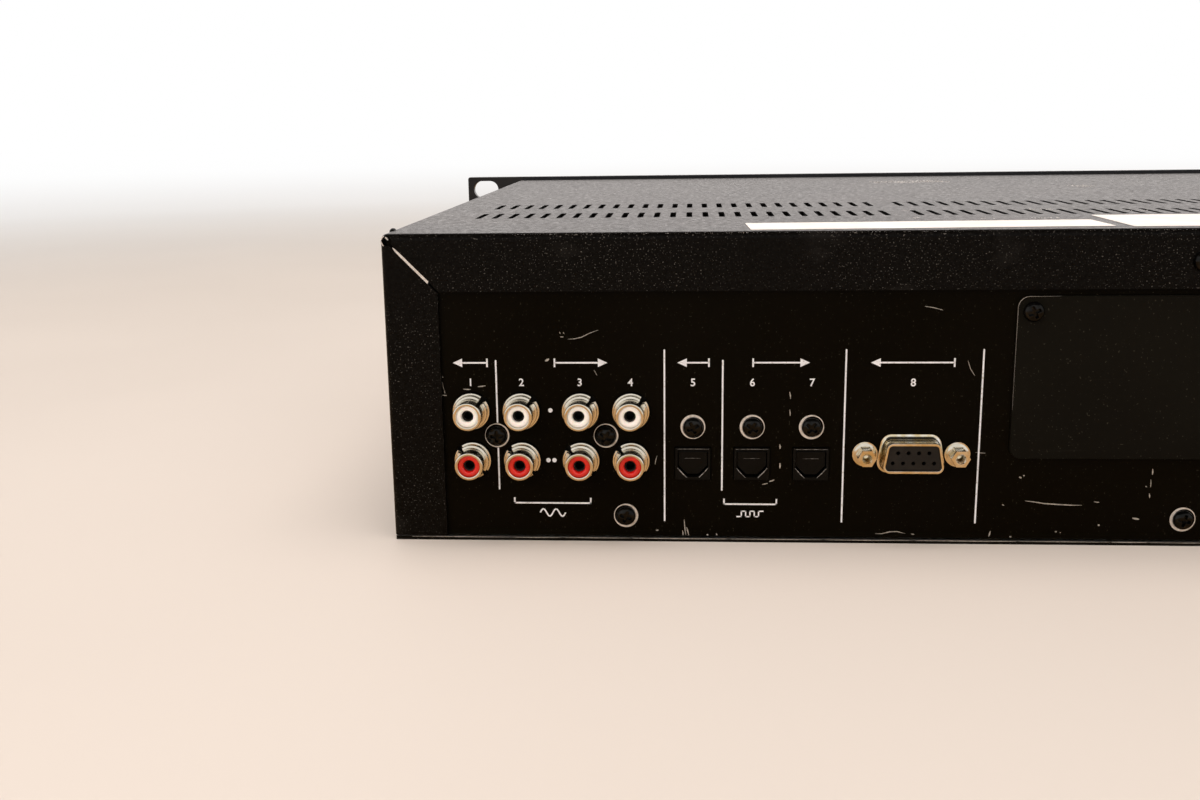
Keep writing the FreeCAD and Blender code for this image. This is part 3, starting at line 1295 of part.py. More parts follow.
def make_cd_loading():
    upper = gear(rack_pinion_teeth, rack_module, gear_face)
    lower = gear(train_gear_teeth, train_module, gear_face)
    sleeve = Part.makeCylinder(gear_post_radius + gear_hub, rack_gear_z - train_gear_z, V(0, 0, 0))
    drive = fuse(place(upper, 0, 0, rack_gear_z - train_gear_z), lower, sleeve)
    drive = drive.cut(wheel_bore(gear_post_radius))
    save("cd_drive_gear", place(drive, drive_x, cd_gear_y, train_gear_z))

    groove = big_pulley_groove
    flange = groove + pulley_rims[0]
    wheel = fuse(Part.makeCylinder(flange, pulley_flange, V(0, 0, -pulley_flange)),
                 Part.makeCylinder(groove, belt_height + 2 * pulley_play, V(0, 0, 0)),
                 Part.makeCylinder(flange, pulley_flange, V(0, 0, belt_height + 2 * pulley_play)))
    pinion_z = train_gear_z - belt_z
    pinion = gear(train_pinion_teeth, train_module, gear_face, 180.0 / train_pinion_teeth)
    sleeve = Part.makeCylinder(gear_post_radius + pinion_hub, pinion_z, V(0, 0, 0))
    wheel = fuse(wheel, sleeve, place(pinion, 0, 0, pinion_z))
    wheel = wheel.cut(wheel_bore(gear_post_radius))
    save("cd_pulley_gear", place(wheel, pulley_x, cd_gear_y, belt_z))

    motor_x = cd_x + loading_motor_x
    flange = small_pulley_groove + pulley_rims[1]
    small = fuse(Part.makeCylinder(flange, pulley_flange, V(0, 0, -pulley_flange)),
                 Part.makeCylinder(small_pulley_groove, belt_height + 2 * pulley_play, V(0, 0, 0)),
                 Part.makeCylinder(flange, pulley_flange, V(0, 0, belt_height + 2 * pulley_play)))
    small = small.cut(wheel_bore(motor_shaft_radius))
    save("cd_motor_pulley", place(small, motor_x, cd_gear_y, belt_z))

    motor_top = cd_frame_floor - touch_gap
    can = rod(motor_x, cd_gear_y, motor_top - loading_motor_length, loading_motor_radius,
              loading_motor_length, Z)
    shaft = rod(motor_x, cd_gear_y, motor_top - motor_boss_height, motor_shaft_radius,
                belt_z + belt_height + shaft_end - motor_top, Z)
    boss = rod(motor_x, cd_gear_y, motor_top - motor_boss_height, motor_shaft_radius + motor_boss,
               2 * motor_boss_height, Z)
    loading_motor = fuse(can, shaft, boss)

    big, little = groove_radii()
    outer = hull_of_two(pulley_x, big + belt_thickness, motor_x, little + belt_thickness)
    inner = hull_of_two(pulley_x, big, motor_x, little)
    belt = Part.Face([outer, inner]).extrude(Z * belt_height)
    save("cd_belt", place(belt, 0, 0, belt_z + pulley_play))
    return loading_motor


def groove_radii():
    """Inner radius of the belt round each of its two pulleys."""
    return big_pulley_groove + belt_gap, small_pulley_groove + belt_gap


def hull_of_two(x_a, radius_a, x_b, radius_b):
    """The taut loop round two circles on the line Y = cd_gear_y, as a wire at Z = 0."""
    distance = x_a - x_b
    lean = math.asin((radius_a - radius_b) / distance)

    def on(x, radius, angle):
        return V(x + radius * math.cos(angle), cd_gear_y + radius * math.sin(angle), 0)

    touch = math.pi / 2 + lean
    arc_a = Part.Arc(on(x_a, radius_a, -touch), on(x_a, radius_a, 0), on(x_a, radius_a, touch)).toShape()
    arc_b = Part.Arc(on(x_b, radius_b, touch), on(x_b, radius_b, math.pi),
                     on(x_b, radius_b, -touch)).toShape()
    upper = Part.makeLine(on(x_a, radius_a, touch), on(x_b, radius_b, touch))
    lower = Part.makeLine(on(x_b, radius_b, -touch), on(x_a, radius_a, -touch))
    return Part.Wire([arc_a, upper, arc_b, lower])


def make_cd_traverse():
    front, back = traverse_front, traverse_back
    plate = block(around(cd_x, traverse_half), (front, back), (traverse_under, traverse_top))
    rails = [block((cd_x + s * (traverse_half - traverse_rail), cd_x + s * traverse_half), (front, back),
                   (traverse_under - traverse_rail_drop, traverse_top)) for s in (-1, 1)]
    front_bracket = pickup_front - rod_bracket_gaps[0] - rod_bracket
    back_bracket = pickup_front + pickup_length + pickup_travel + rod_bracket_gaps[1]
    brackets = [block(around(cd_x, traverse_half), (y, y + rod_bracket),
                      (cd_rod_z - rod_bracket_drop, traverse_top)) for y in (front_bracket, back_bracket)]
    hanger = block((cd_x + traverse_half - traverse_rail, cd_x + traverse_half),
                   around(sled_gear_y, sled_motor_radius + traverse_rail),
                   (sled_axis_z() - sled_motor_radius, traverse_top))
    pins = [rod(cd_x + s * (traverse_half - traverse_rail / 2), traverse_pivot_y, traverse_pivot_z,
                traverse_pin_radius, traverse_pin_length, X * s) for s in (-1, 1)]
    shape = fuse(plate, hanger, *rails, *brackets, *pins)
    window = block(around(cd_x, traverse_window_half), (front_bracket + rod_bracket, back_bracket),
                   (traverse_under - overcut, traverse_top + overcut))
    cuts = [window, rod(cd_x, cd_disc_y, traverse_under - overcut, traverse_hole_radius,
                        traverse_sheet + 2 * overcut, Z)]
    rods = []
    for s in (-1, 1):
        cuts.append(rod(cd_x + s * cd_rod_x, front_bracket - overcut, cd_rod_z, guide_rod_radius,
                        back_bracket - front_bracket + rod_bracket + 2 * overcut, Y))
        rods.append(rod(cd_x + s * cd_rod_x, front_bracket, cd_rod_z, guide_rod_radius,
                        back_bracket + rod_bracket - front_bracket, Y))
    save("cd_traverse", shape.cut(cuts), *rods)

    motor_top = traverse_under - touch_gap
    spindle = fuse(rod(cd_x, cd_disc_y, motor_top - spindle_motor_length, spindle_motor_radius,
                       spindle_motor_length, Z),
                   rod(cd_x, cd_disc_y, motor_top - overcut, motor_shaft_radius, disc_plane - motor_top, Z))
    sled_x = cd_x + sled_gear_x + sled_gear_face + sled_motor_gap
    sled_end = cd_x + traverse_half - traverse_rail - touch_gap
    sled = fuse(rod(sled_x, sled_gear_y, sled_axis_z(), sled_motor_radius, sled_end - sled_x, X),
                rod(cd_x + sled_gear_x, sled_gear_y, sled_axis_z(), motor_shaft_radius,
                    sled_x + overcut - cd_x - sled_gear_x, X))
    save("cd_traverse_motors", spindle, sled)

    table_z = disc_plane - turntable_height
    table = fuse(rod(cd_x, cd_disc_y, table_z, turntable_radius, turntable_height, Z),
                 rod(cd_x, cd_disc_y, table_z - turntable_hub[1], turntable_hub[0],
                     turntable_hub[1] + turntable_height, Z),
                 Part.makeCone(turntable_cone_radius, turntable_cone_radius - turntable_cone_taper,
                               turntable_cone_height, V(cd_x, cd_disc_y, disc_plane), Z))
    bore_low = table_z - turntable_hub[1] - overcut
    save("cd_turntable", table.cut(rod(cd_x, cd_disc_y, bore_low, motor_shaft_radius + shaft_gap,
                                       disc_plane + turntable_hub[1] - table_z, Z)))


def sled_axis_z():
    """Height of the sled gear's axis: its pitch circle touches the sled rack's pitch line."""
    return sled_rack_pitch_z - train_module * sled_gear_teeth / 2


def make_cd_pickup():
    lens_y = pickup_front + pickup_lens_offset
    body = block(around(cd_x, pickup_half), (pickup_front, pickup_front + pickup_length),
                 (pickup_bottom, traverse_under - wall_gap))
    neck = block(around(cd_x, pickup_neck_half),
                 (pickup_front + pickup_step, pickup_front + pickup_length - pickup_step),
                 (pickup_bottom, pickup_top - pickup_neck_drop))
    lens = rod(cd_x, lens_y, pickup_top - lens_height, lens_radius, lens_height, Z)
    spare = sled_spare_teeth * math.pi * train_module
    line = rack(train_module, sled_gear_y - pickup_travel - spare, sled_gear_y + spare, sled_gear_y)
    top = pickup_bottom + pickup_step
    left = cd_x + sled_gear_x + sled_gear_play
    outline = [V(left, along, sled_rack_pitch_z - height) for along, height in line]
    outline += [V(left, line[-1][0], top), V(left, line[0][0], top)]
    teeth = prism(outline, sled_gear_face - 2 * sled_gear_play, X)
    shape = fuse(body, neck, lens, teeth)
    bores = [rod(cd_x + s * cd_rod_x, pickup_front - overcut, cd_rod_z, guide_rod_radius + shaft_gap,
                 pickup_length + 2 * overcut, Y) for s in (-1, 1)]
    save("cd_pickup", shape.cut(bores))

    wheel = gear(sled_gear_teeth, train_module, sled_gear_face)
    wheel = wheel.cut(wheel_bore(motor_shaft_radius))
    wheel.rotate(V(0, 0, 0), Y, 90)
    save("cd_sled_gear", place(wheel, cd_x + sled_gear_x, sled_gear_y, sled_axis_z()))


# ---- minidisc drive --------------------------------------------------------------------
def make_md_frame():
    front = wall_back + seat_gap
    outer = md_wall_half + md_wall
    floor = block(around(md_x, outer), (front, md_back), (md_floor, md_floor_top))
    walls = [block((md_x + s * md_wall_half, md_x + s * outer), (front, md_back), (md_floor, md_wall_top))
             for s in (-1, 1)]
    legs = [rod(md_x + s * md_leg_x, y, floor_z + touch_gap, md_leg_radius,
                md_floor - floor_z + leg_overlap, Z)
            for s in (-1, 1) for y in md_leg_y]
    rod_front = md_spindle_y + md_motor_radius + md_end_gap
    rod_back = rod_front + rod_bracket + md_pickup_length + md_pickup_travel + 2 * md_end_gap
    brackets = [block(around(md_x, md_screw_x + md_bracket_rim), (y, y + rod_bracket),
                      (md_floor, md_rod_z + md_bracket_rim)) for y in (rod_front, rod_back)]
    shape = fuse(floor, *walls, *legs, *brackets)
    cuts = []
    for y in md_holder_pin_y:
        low = md_slot_z - md_holder_drop - md_holder_pin_radius - wall_gap
        high = md_slot_z + md_holder_pin_radius + wall_gap
        cuts.append(block(around(md_x, outer + overcut), around(y, md_holder_pin_radius + md_guide_gap),
                          (low, high)))
    span = 2 * (outer + overcut)
    cuts.append(rod(md_x - span / 2, flap_pivot_y(), md_flap_pivot_z, md_flap_pin_radius + shaft_gap,
                    span, X))
    cuts.append(rod(md_x - span / 2, md_arm_pivot_y, arm_pivot_z(), md_arm_pin_radius + shaft_gap, span, X))
    rods = []
    for s in (-1, 1):
        x = md_x + s * md_rod_x
        length = rod_back + rod_bracket - rod_front
        cuts.append(rod(x, rod_front - overcut, md_rod_z, md_rod_radius, length + 2 * overcut, Y))
        rods.append(rod(x, rod_front, md_rod_z, md_rod_radius, length, Y))
    cuts.append(rod(md_x + md_screw_x, rod_front - overcut, md_rod_z, md_screw_radius + shaft_gap,
                    rod_back - rod_front + rod_bracket + 2 * overcut, Y))
    save("md_frame", shape.cut(cuts), *rods)

    motor_z = md_floor_top + touch_gap
    spindle = fuse(rod(md_x, md_spindle_y, motor_z, md_motor_radius, md_motor_length, Z),
                   rod(md_x, md_spindle_y, motor_z + overcut, md_shaft_radius,
                       md_motor_length + md_turntable_height + md_hub_height - overcut, Z))
    screw_motor_y = rod_back + rod_bracket + wall_gap
    screw_motor = rod(md_x + md_screw_x, screw_motor_y, md_rod_z, md_screw_motor_radius,
                      md_screw_motor_length, Y)
    screw_motor = screw_motor.cut(rod(md_x + md_screw_x, screw_motor_y - overcut, md_rod_z,
                                      md_screw_radius + shaft_gap, md_screw_seat + overcut, Y))
    foot = block(around(md_x + md_screw_x, md_foot_half),
                 (screw_motor_y + md_foot_inset, screw_motor_y + md_screw_motor_length - md_foot_inset),
                 (md_floor_top + touch_gap, md_rod_z - md_screw_motor_radius / 2))
    screw_motor = fuse(screw_motor, foot)

    table_z = motor_z + md_motor_length + md_table_gap
    table = fuse(rod(md_x, md_spindle_y, table_z, md_turntable_radius, md_turntable_height, Z),
                 rod(md_x, md_spindle_y, table_z, md_hub_radius, md_turntable_height + md_hub_height, Z))
    save("md_turntable", table.cut(rod(md_x, md_spindle_y, table_z - overcut, md_shaft_radius + shaft_gap,
                                       md_turntable_height + md_hub_height + 2 * overcut, Z)))

    pickup_y = rod_front + rod_bracket + md_end_gap
    bottom = md_rod_z - md_pickup_drop
    ys = (pickup_y, pickup_y + md_pickup_length)
    body = block(around(md_x, md_pickup_half), ys, (bottom, bottom + md_pickup_height - md_neck_height))
    neck = block(around(md_x, md_neck_half), (ys[0] + md_neck_inset, ys[1] - md_neck_inset),
                 (bottom, bottom + md_pickup_height))
    nut = block((md_x + md_pickup_half - md_neck_inset, md_x + md_screw_x + md_nut_half),
                (ys[0] + md_nut_inset, ys[1] - md_nut_inset), around(md_rod_z, md_nut_half))
    shape = fuse(body, neck, nut)
    bores = [rod(md_x + x, ys[0] - overcut, md_rod_z, radius + shaft_gap, md_pickup_length + 2 * overcut, Y)
             for x, radius in ((-md_rod_x, md_rod_radius), (md_rod_x, md_rod_radius),
                               (md_screw_x, md_screw_radius))]
    save("md_pickup", shape.cut(bores))
    save("md_lead_screw", rod(md_x + md_screw_x, rod_front, md_rod_z, md_screw_radius,
                              screw_motor_y + md_screw_seat - md_screw_end_gap - rod_front, Y))
    return spindle, screw_motor


def flap_pivot_y():
    """The flap hangs just behind the chassis wall."""
    return wall_back + wall_gap + md_flap_pin_radius


def arm_pivot_z():
    """The head arm's hinge pin lies on the arm's middle plane."""
    return md_arm_z + md_arm_sheet / 2


def make_md_holder():
    back = md_holder_front + md_holder_length
    half = md_cavity_half + md_holder_sheet
    low, high = md_cavity_z[0] - md_holder_sheet, md_cavity_z[1] + md_holder_sheet
    tube = block(around(md_x, half), (md_holder_front, back), (low, high))
    cavity = block(around(md_x, md_cavity_half), (md_holder_front - overcut, back - md_holder_sheet),
                   md_cavity_z)
    drive_window = block(around(md_x, md_drive_window_half),
                         (md_spindle_y - md_drive_window_ends[0], back - md_drive_window_ends[1]),
                         (low - overcut, md_cavity_z[0] + overcut))
    arm_half = md_arm_half + md_head_window_gap
    head_window = block(around(md_x, arm_half),
                        (md_arm_pivot_y - md_arm_reach - 2 * md_head_window_gap, back + overcut),
                        (md_cavity_z[1] - overcut, high + overcut))
    rear_notch = block(around(md_x, arm_half), (back - 2 * md_holder_sheet, back + overcut),
                       (md_cavity_z[0] + overcut, high + overcut))
    tube = tube.cut([cavity, drive_window, head_window, rear_notch])
    start = md_cavity_half + md_holder_sheet / 2
    reach = md_wall_half + md_wall - md_pin_end_gap - start
    pins = [rod(md_x + s * start, y, md_slot_z, md_holder_pin_radius, reach, X * s)
            for s in (-1, 1) for y in md_holder_pin_y]
    save("md_holder", fuse(tube, *pins))

    tip = md_arm_pivot_y - md_arm_reach
    arm = block(around(md_x, md_arm_half), (tip, md_arm_pivot_y), (md_arm_z, md_arm_z + md_arm_sheet))
    root = block(around(md_x, md_wall_half - md_arm_root_inset), around(md_arm_pivot_y, md_arm_root_half),
                 (md_arm_z, md_arm_z + md_arm_sheet))
    head = block(around(md_x, md_head_size[0]), (tip, tip + md_head_size[1]),
                 (md_arm_z - md_head_depth, md_arm_z + md_head_rise))
    pin = rod(md_x - md_wall_half - md_wall, md_arm_pivot_y, arm_pivot_z(), md_arm_pin_radius,
              2 * (md_wall_half + md_wall), X)
    save("md_head_arm", fuse(arm, root, head, pin))

    leaf = block(around(md_x, md_flap_half), around(flap_pivot_y(), md_flap_sheet / 2),
                 (md_flap_pivot_z - md_flap_drop, md_flap_pivot_z))
    pin = rod(md_x - md_wall_half - md_wall, flap_pivot_y(), md_flap_pivot_z, md_flap_pin_radius,
              2 * (md_wall_half + md_wall), X)
    save("md_slot_flap", fuse(leaf, pin))


make_chassis()
make_front_chassis()
make_cover()
make_front_panel()
make_rear_panel()
make_option_plate()
make_screws()
make_rca()
make_optical()
make_dsub()
make_inlet()
make_boards()
make_components()
make_ribbons()
make_buttons()
make_switches()
make_knob("phones_knob", phones_knob_x, button_row_z, phones_knob_radius, knob_depth, False)
make_knob("input_knob", input_knob_x, button_row_z, input_knob_radius, knob_depth, False)
make_knob("jog_dial", jog_x, jog_z, jog_radius, knob_depth, True)
make_phones_jack()
make_cd_tray()
make_cd_chassis()
loading_motor = make_cd_loading()
make_cd_traverse()
make_cd_pickup()
save("drive_motors", loading_motor, *make_md_frame())
make_md_holder()
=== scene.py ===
"""A two-unit rack deck for compact discs and minidiscs, dressed for looking at.

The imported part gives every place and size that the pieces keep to. Each class below is one
sub-assembly: its fields are sizes in millimetres, and its methods make the pieces, round their
edges and give them their finish.
"""

from __future__ import annotations

import json
import logging
import math
import random
from dataclasses import dataclass
from enum import Enum
from typing import Any, Sequence

import bmesh
import bpy
from mathutils import Matrix, Vector

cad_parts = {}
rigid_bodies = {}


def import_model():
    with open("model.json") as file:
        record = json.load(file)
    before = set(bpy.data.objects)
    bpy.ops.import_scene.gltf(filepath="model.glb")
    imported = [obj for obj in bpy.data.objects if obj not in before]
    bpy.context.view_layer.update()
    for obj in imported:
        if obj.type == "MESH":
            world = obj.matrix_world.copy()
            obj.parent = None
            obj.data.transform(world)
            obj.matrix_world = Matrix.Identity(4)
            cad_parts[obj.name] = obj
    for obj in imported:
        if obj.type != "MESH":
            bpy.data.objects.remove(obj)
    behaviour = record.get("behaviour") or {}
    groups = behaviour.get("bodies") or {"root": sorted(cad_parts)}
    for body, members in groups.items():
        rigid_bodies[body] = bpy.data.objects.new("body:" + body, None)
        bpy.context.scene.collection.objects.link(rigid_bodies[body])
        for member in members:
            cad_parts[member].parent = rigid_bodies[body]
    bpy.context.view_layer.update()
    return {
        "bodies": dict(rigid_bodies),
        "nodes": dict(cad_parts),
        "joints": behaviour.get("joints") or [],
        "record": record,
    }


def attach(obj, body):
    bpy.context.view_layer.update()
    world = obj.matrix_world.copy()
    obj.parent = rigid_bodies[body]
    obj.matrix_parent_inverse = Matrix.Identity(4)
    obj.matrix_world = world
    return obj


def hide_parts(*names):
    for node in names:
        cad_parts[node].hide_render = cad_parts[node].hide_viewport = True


MM = 0.001  # metres in a millimetre
WELD = 2e-6  # metres: points nearer than this are one
CREASE = math.radians(35)  # edges that turn more than this are sharp
UPRIGHT = Matrix.Identity(4)  # the frame of a part that is made about the origin

Point2 = tuple[float, float]
Point3 = tuple[float, float, float]
Point4 = tuple[float, float, float, float]
Mesh = bpy.types.Mesh
Object = bpy.types.Object
Outline = Sequence[Point2]
Socket = bpy.types.NodeSocket
Tree = bpy.types.NodeTree

log = logging.getLogger("deck")


# ---- nodes and colours -------------------------------------------------------------------
def linear(colour: str) -> Point4:
    """Turns an sRGB hex value into linear light.

    Args:
        colour: A hash and six hex digits.

    Returns:
        Red, green and blue in linear light, and an alpha of 1.
    """
    channels = [int(colour[i:i + 2], 16) / 255 for i in (1, 3, 5)]
    light = [c / 12.92 if c <= 0.04045 else ((c + 0.055) / 1.055) ** 2.4 for c in channels]
    return (light[0], light[1], light[2], 1.0)


def add_node(tree: Tree, kind: str, feeds: dict[Any, Any] | None = None, **settings: Any) -> bpy.types.Node:
    """Adds one node with its settings and links.

    Args:
        tree: The tree that the node goes into.
        kind: Blender's name for the node's type.
        feeds: What each input takes, by its name or number: a value or another node's output.
        **settings: The node's own settings.

    Returns:
        The new node.
    """
    node = tree.nodes.new(kind)
    for key, value in settings.items():
        setattr(node, key, value)
    for socket, value in (feeds or {}).items():
        if isinstance(value, Socket):
            tree.links.new(value, node.inputs[socket])
        else:
            node.inputs[socket].default_value = value
    return node


def blend(tree: Tree, share: Any, first: Any, second: Any) -> Socket:
    """Mixes a share of the second colour into the first; each is a colour or an output."""
    return add_node(tree, "ShaderNodeMix", {0: share, 6: first, 7: second}, data_type="RGBA").outputs[2]


def reckon(tree: Tree, operation: str, first: Any, second: Any, **settings: Any) -> Socket:
    """Works out one sum, by Blender's name for it; each side is a number or an output."""
    return add_node(tree, "ShaderNodeMath", {0: first, 1: second}, operation=operation, **settings).outputs[0]


def remap(tree: Tree, value: Socket, window: Point2, low: Any = 0.0, high: Any = 1.0,
          curve: str = "LINEAR") -> Socket:
    """Spreads a part of a value's range over new limits.

    Args:
        tree: The tree that needs it.
        value: The output that carries the value.
        window: That part of its range.
        low: What the window's start becomes.
        high: What its end becomes.
        curve: Blender's name for the way from one to the other.

    Returns:
        The output socket that carries the new value.
    """
    return add_node(tree, "ShaderNodeMapRange", {
        "Value": value, "From Min": window[0], "From Max": window[1], "To Min": low, "To Max": high},
        interpolation_type=curve).outputs[0]


def cleared(owner: bpy.types.Material | bpy.types.World) -> Tree:
    """The node tree of a new material or world, emptied.

    Args:
        owner: The material or world.

    Returns:
        The empty tree.
    """
    owner.use_nodes = True
    owner.node_tree.nodes.clear()
    return owner.node_tree


def drift(tree: Tree, size: float, low: float, high: float, stretch: Point3 = (1.0, 1.0, 1.0),
          detail: float = 2.0, window: Point2 = (0.35, 0.65)) -> Socket:
    """A value that drifts between two limits over the surface.

    Args:
        tree: The material's tree.
        size: Millimetres from one blotch to the next.
        low: The value where the noise is weakest.
        high: The value where it is strongest.
        stretch: How many times longer the blotches are along X, Y and Z.
        detail: Octaves of finer noise.
        window: The part of the noise's range that is spread over low to high.

    Returns:
        The output socket that carries the value.
    """
    place = add_node(tree, "ShaderNodeTexCoord").outputs["Object"]
    scale = [1 / (size * MM * s) for s in stretch]
    place = add_node(tree, "ShaderNodeMapping", {"Vector": place, "Scale": scale}).outputs[0]
    noise = add_node(tree, "ShaderNodeTexNoise", {"Vector": place, "Scale": 1.0, "Detail": detail})
    return remap(tree, noise.outputs[0], window, low, high)


def bands(tree: Tree, axis: str, period: float, wander: float) -> Socket:
    """Stripes across one axis, from 0 to 1 and back in each period of so many millimetres.

    Args:
        tree: The material's tree.
        axis: X, Y or Z.
        period: Millimetres from one stripe to the next.
        wander: How far the stripes stray.

    Returns:
        The output socket that carries the value.
    """
    place = add_node(tree, "ShaderNodeTexCoord").outputs["Object"]
    wave = add_node(tree, "ShaderNodeTexWave", {
        "Vector": place, "Scale": math.pi / 10 / (period * MM), "Distortion": wander},
        wave_type="BANDS", bands_direction=axis)
    return wave.outputs[1]


# ---- finishes ----------------------------------------------------------------------------
@dataclass(frozen=True)
class Finish:
    """A surface: two near colours that drift into each other, a gloss that varies, and a grain."""

    name: str
    colour: str
    other: str
    patch: float = 20.0  # size of the drift between the two colours
    roughness: Point2 = (0.4, 0.5)
    smear: float = 12.0  # size of the drift in the gloss
    grain: float = 1.0  # size of the small bumps
    depth: float = 0.01  # and their height
    stretch: Point3 = (1.0, 1.0, 1.0)  # how far the grain is drawn out
    metallic: float = 0.0
    ior: float = 1.5
    mirror: float = 0.5  # strength of the reflection seen straight on

    def material(self) -> bpy.types.Material:
        """The material of this finish, made the first time that it is asked for.

        Returns:
            The material.
        """
        found = bpy.data.materials.get(self.name)
        if found:
            return found
        made = bpy.data.materials.new(self.name)
        tree = cleared(made)
        shader = add_node(tree, "ShaderNodeBsdfPrincipled", {
            "Base Color": linear(self.colour), "Metallic": self.metallic, "IOR": self.ior,
            "Specular IOR Level": self.mirror})
        add_node(tree, "ShaderNodeOutputMaterial", {"Surface": shader.outputs[0]})
        self.lay(tree, shader)
        return made

    def tone(self, tree: Tree) -> Socket:
        """The colour: the first one, drifting to the other."""
        return blend(tree, drift(tree, self.patch, 0.0, 1.0), linear(self.colour), linear(self.other))

    def height(self, tree: Tree) -> Socket:
        """The grain's height, from 0 to 1."""
        return drift(tree, self.grain, 0.0, 1.0, self.stretch, window=(0.25, 0.75))

    def lay(self, tree: Tree, shader: bpy.types.Node) -> None:
        """Joins the patterns to the shader.

        Args:
            tree: The material's tree.
            shader: Its Principled shader.
        """
        tree.links.new(self.tone(tree), shader.inputs["Base Color"])
        gloss = drift(tree, self.smear, *self.roughness, self.stretch)
        tree.links.new(gloss, shader.inputs["Roughness"])
        bump = add_node(tree, "ShaderNodeBump", {
            "Height": self.height(tree), "Distance": self.depth * MM, "Strength": 1.0})
        tree.links.new(bump.outputs[0], shader.inputs["Normal"])


@dataclass(frozen=True)
class PowderCoat(Finish):
    """Textured powder coat: pebbles with painted glints, faint scuffs, and on top a pale film that is partly
    dust and partly painted sheen.
    """

    fleck: str = "#928e87"  # painted glint where a pebble catches the light
    fleck_size: float = 0.44
    fleck_window: Point2 = (0.65, 0.77)
    crowd_size: float = 45.0  # size of the drift in how many flecks show
    crowd: Point2 = (0.02, 0.5)  # and its limits
    scuff: float = 0.03  # how much a scuff shows
    scuff_size: float = 14.0
    scuff_stretch: Point3 = (1.6, 1.0, 1.0)
    scuff_window: Point2 = (0.60, 0.74)
    film: str = "#2c2927"  # partly dust, partly painted sheen, on faces that look up
    film_size: float = 38.0
    film_share: Point2 = (0.45, 1.0)
    level: Point2 = (0.9, 1.0)  # how far upward a face looks where the dust and painted sheen lie on it

    def tone(self, tree: Tree) -> Socket:
        """Mottled black, with painted glints in loose crowds, a few scuffs, and dust with painted sheen where
        it faces up.

        Args:
            tree: The material's tree.

        Returns:
            The output socket that carries the colour.
        """
        # flecks: painted glints of the pebbles
        flecks = drift(tree, self.fleck_size, 0.0, 1.0, window=self.fleck_window, detail=1.0)
        share = reckon(tree, "MULTIPLY", flecks, drift(tree, self.crowd_size, *self.crowd))
        scuffs = drift(tree, self.scuff_size, 0.0, self.scuff, self.scuff_stretch, 8.0, self.scuff_window)
        share = reckon(tree, "ADD", share, scuffs, use_clamp=True)
        coat = blend(tree, share, super().tone(tree), linear(self.fleck))
        # faces that look up get a pale film: partly dust, partly painted sheen
        facing = add_node(tree, "ShaderNodeTexCoord").outputs["Normal"]
        upward = add_node(tree, "ShaderNodeSeparateXYZ", {0: facing}).outputs["Z"]
        dust_and_sheen_mask = remap(tree, upward, self.level, 0.0, drift(tree, self.film_size, *self.film_share))
        return blend(tree, dust_and_sheen_mask, coat, linear(self.film))


@dataclass(frozen=True)
class Paint(Finish):
    """Sprayed paint: even colour with a little dust, and hairlines where it has been rubbed."""

    dust: str = "#38352d"
    dust_share: float = 0.7  # how much a grain of dust shows
    dust_size: float = 0.5
    dust_window: Point2 = (0.77, 0.84)
    rub: float = 0.12  # how much a hairline shows
    rub_size: float = 2.4
    rub_stretch: Point3 = (9.0, 1.0, 0.35)
    rub_window: Point2 = (0.70, 0.84)

    def tone(self, tree: Tree) -> Socket:
        """The colour with pin-prick dust and faint hairlines in it.

        Args:
            tree: The material's tree.

        Returns:
            The output socket that carries the colour.
        """
        dust = drift(tree, self.dust_size, 0.0, self.dust_share, window=self.dust_window, detail=0.0)
        rubs = drift(tree, self.rub_size, 0.0, self.rub, self.rub_stretch, 4.0, self.rub_window)
        share = reckon(tree, "MAXIMUM", dust, rubs)
        return blend(tree, share, super().tone(tree), linear(self.dust))


@dataclass(frozen=True)
class Moulding(Finish):
    """Moulded plastic, with light that goes a little way in where it is pale."""

    glow: float = 0.0
    glow_depth: float = 0.5
    coat: float = 0.0

    def lay(self, tree: Tree, shader: bpy.types.Node) -> None:
        """Adds the light under the surface and the gloss skin of the mould.

        Args:
            tree: The material's tree.
            shader: Its Principled shader.
        """
        super().lay(tree, shader)
        shader.inputs["Subsurface Weight"].default_value = self.glow
        shader.inputs["Subsurface Scale"].default_value = self.glow_depth * MM
        shader.inputs["Coat Weight"].default_value = self.coat


@dataclass(frozen=True)
class Pane(Finish):
    """Clear plastic or glass with a tint all through."""

    clear: float = 0.5

    def lay(self, tree: Tree, shader: bpy.types.Node) -> None:
        """Lets light through as well."""
        super().lay(tree, shader)
        shader.inputs["Transmission Weight"].default_value = self.clear


@dataclass(frozen=True)
class Striped(Finish):
    """Stacked or wound stuff: two colours in fine stripes across one axis, ridged."""

    axis: str = "Z"
    period: float = 0.6
    wander: float = 0.4

    def tone(self, tree: Tree) -> Socket:
        """The two colours, one in each stripe's crest and one between."""
        return blend(tree, self.height(tree), linear(self.other), linear(self.colour))

    def height(self, tree: Tree) -> Socket:
        """The stripes stand up as ridges."""
        return bands(tree, self.axis, self.period, self.wander)


@dataclass(frozen=True)
class SolderMask(Finish):
    """Green lacquer on a circuit board, paler where a copper track lies under it."""

    track: str = "#2f7d47"
    track_width: float = 0.35
    track_length: float = 17.0
    track_pitch: float = 2.4  # from one track to the next

    def tone(self, tree: Tree) -> Socket:
        """The board's green, with tracks as the joints of a long brick pattern.

        Args:
            tree: The material's tree.

        Returns:
            The output socket that carries the colour.
        """
        place = add_node(tree, "ShaderNodeTexCoord").outputs["Object"]
        tracks = add_node(tree, "ShaderNodeTexBrick", {
            "Vector": place, "Scale": 1.0, "Mortar Size": self.track_width * MM,
            "Brick Width": self.track_length * MM, "Row Height": self.track_pitch * MM,
            "Color1": (0, 0, 0, 1), "Color2": (0.25, 0.25, 0.25, 1), "Mortar": (1, 1, 1, 1)},
            offset=0.37, squash_frequency=3, squash=0.6)
        return blend(tree, tracks.outputs[0], super().tone(tree), linear(self.track))


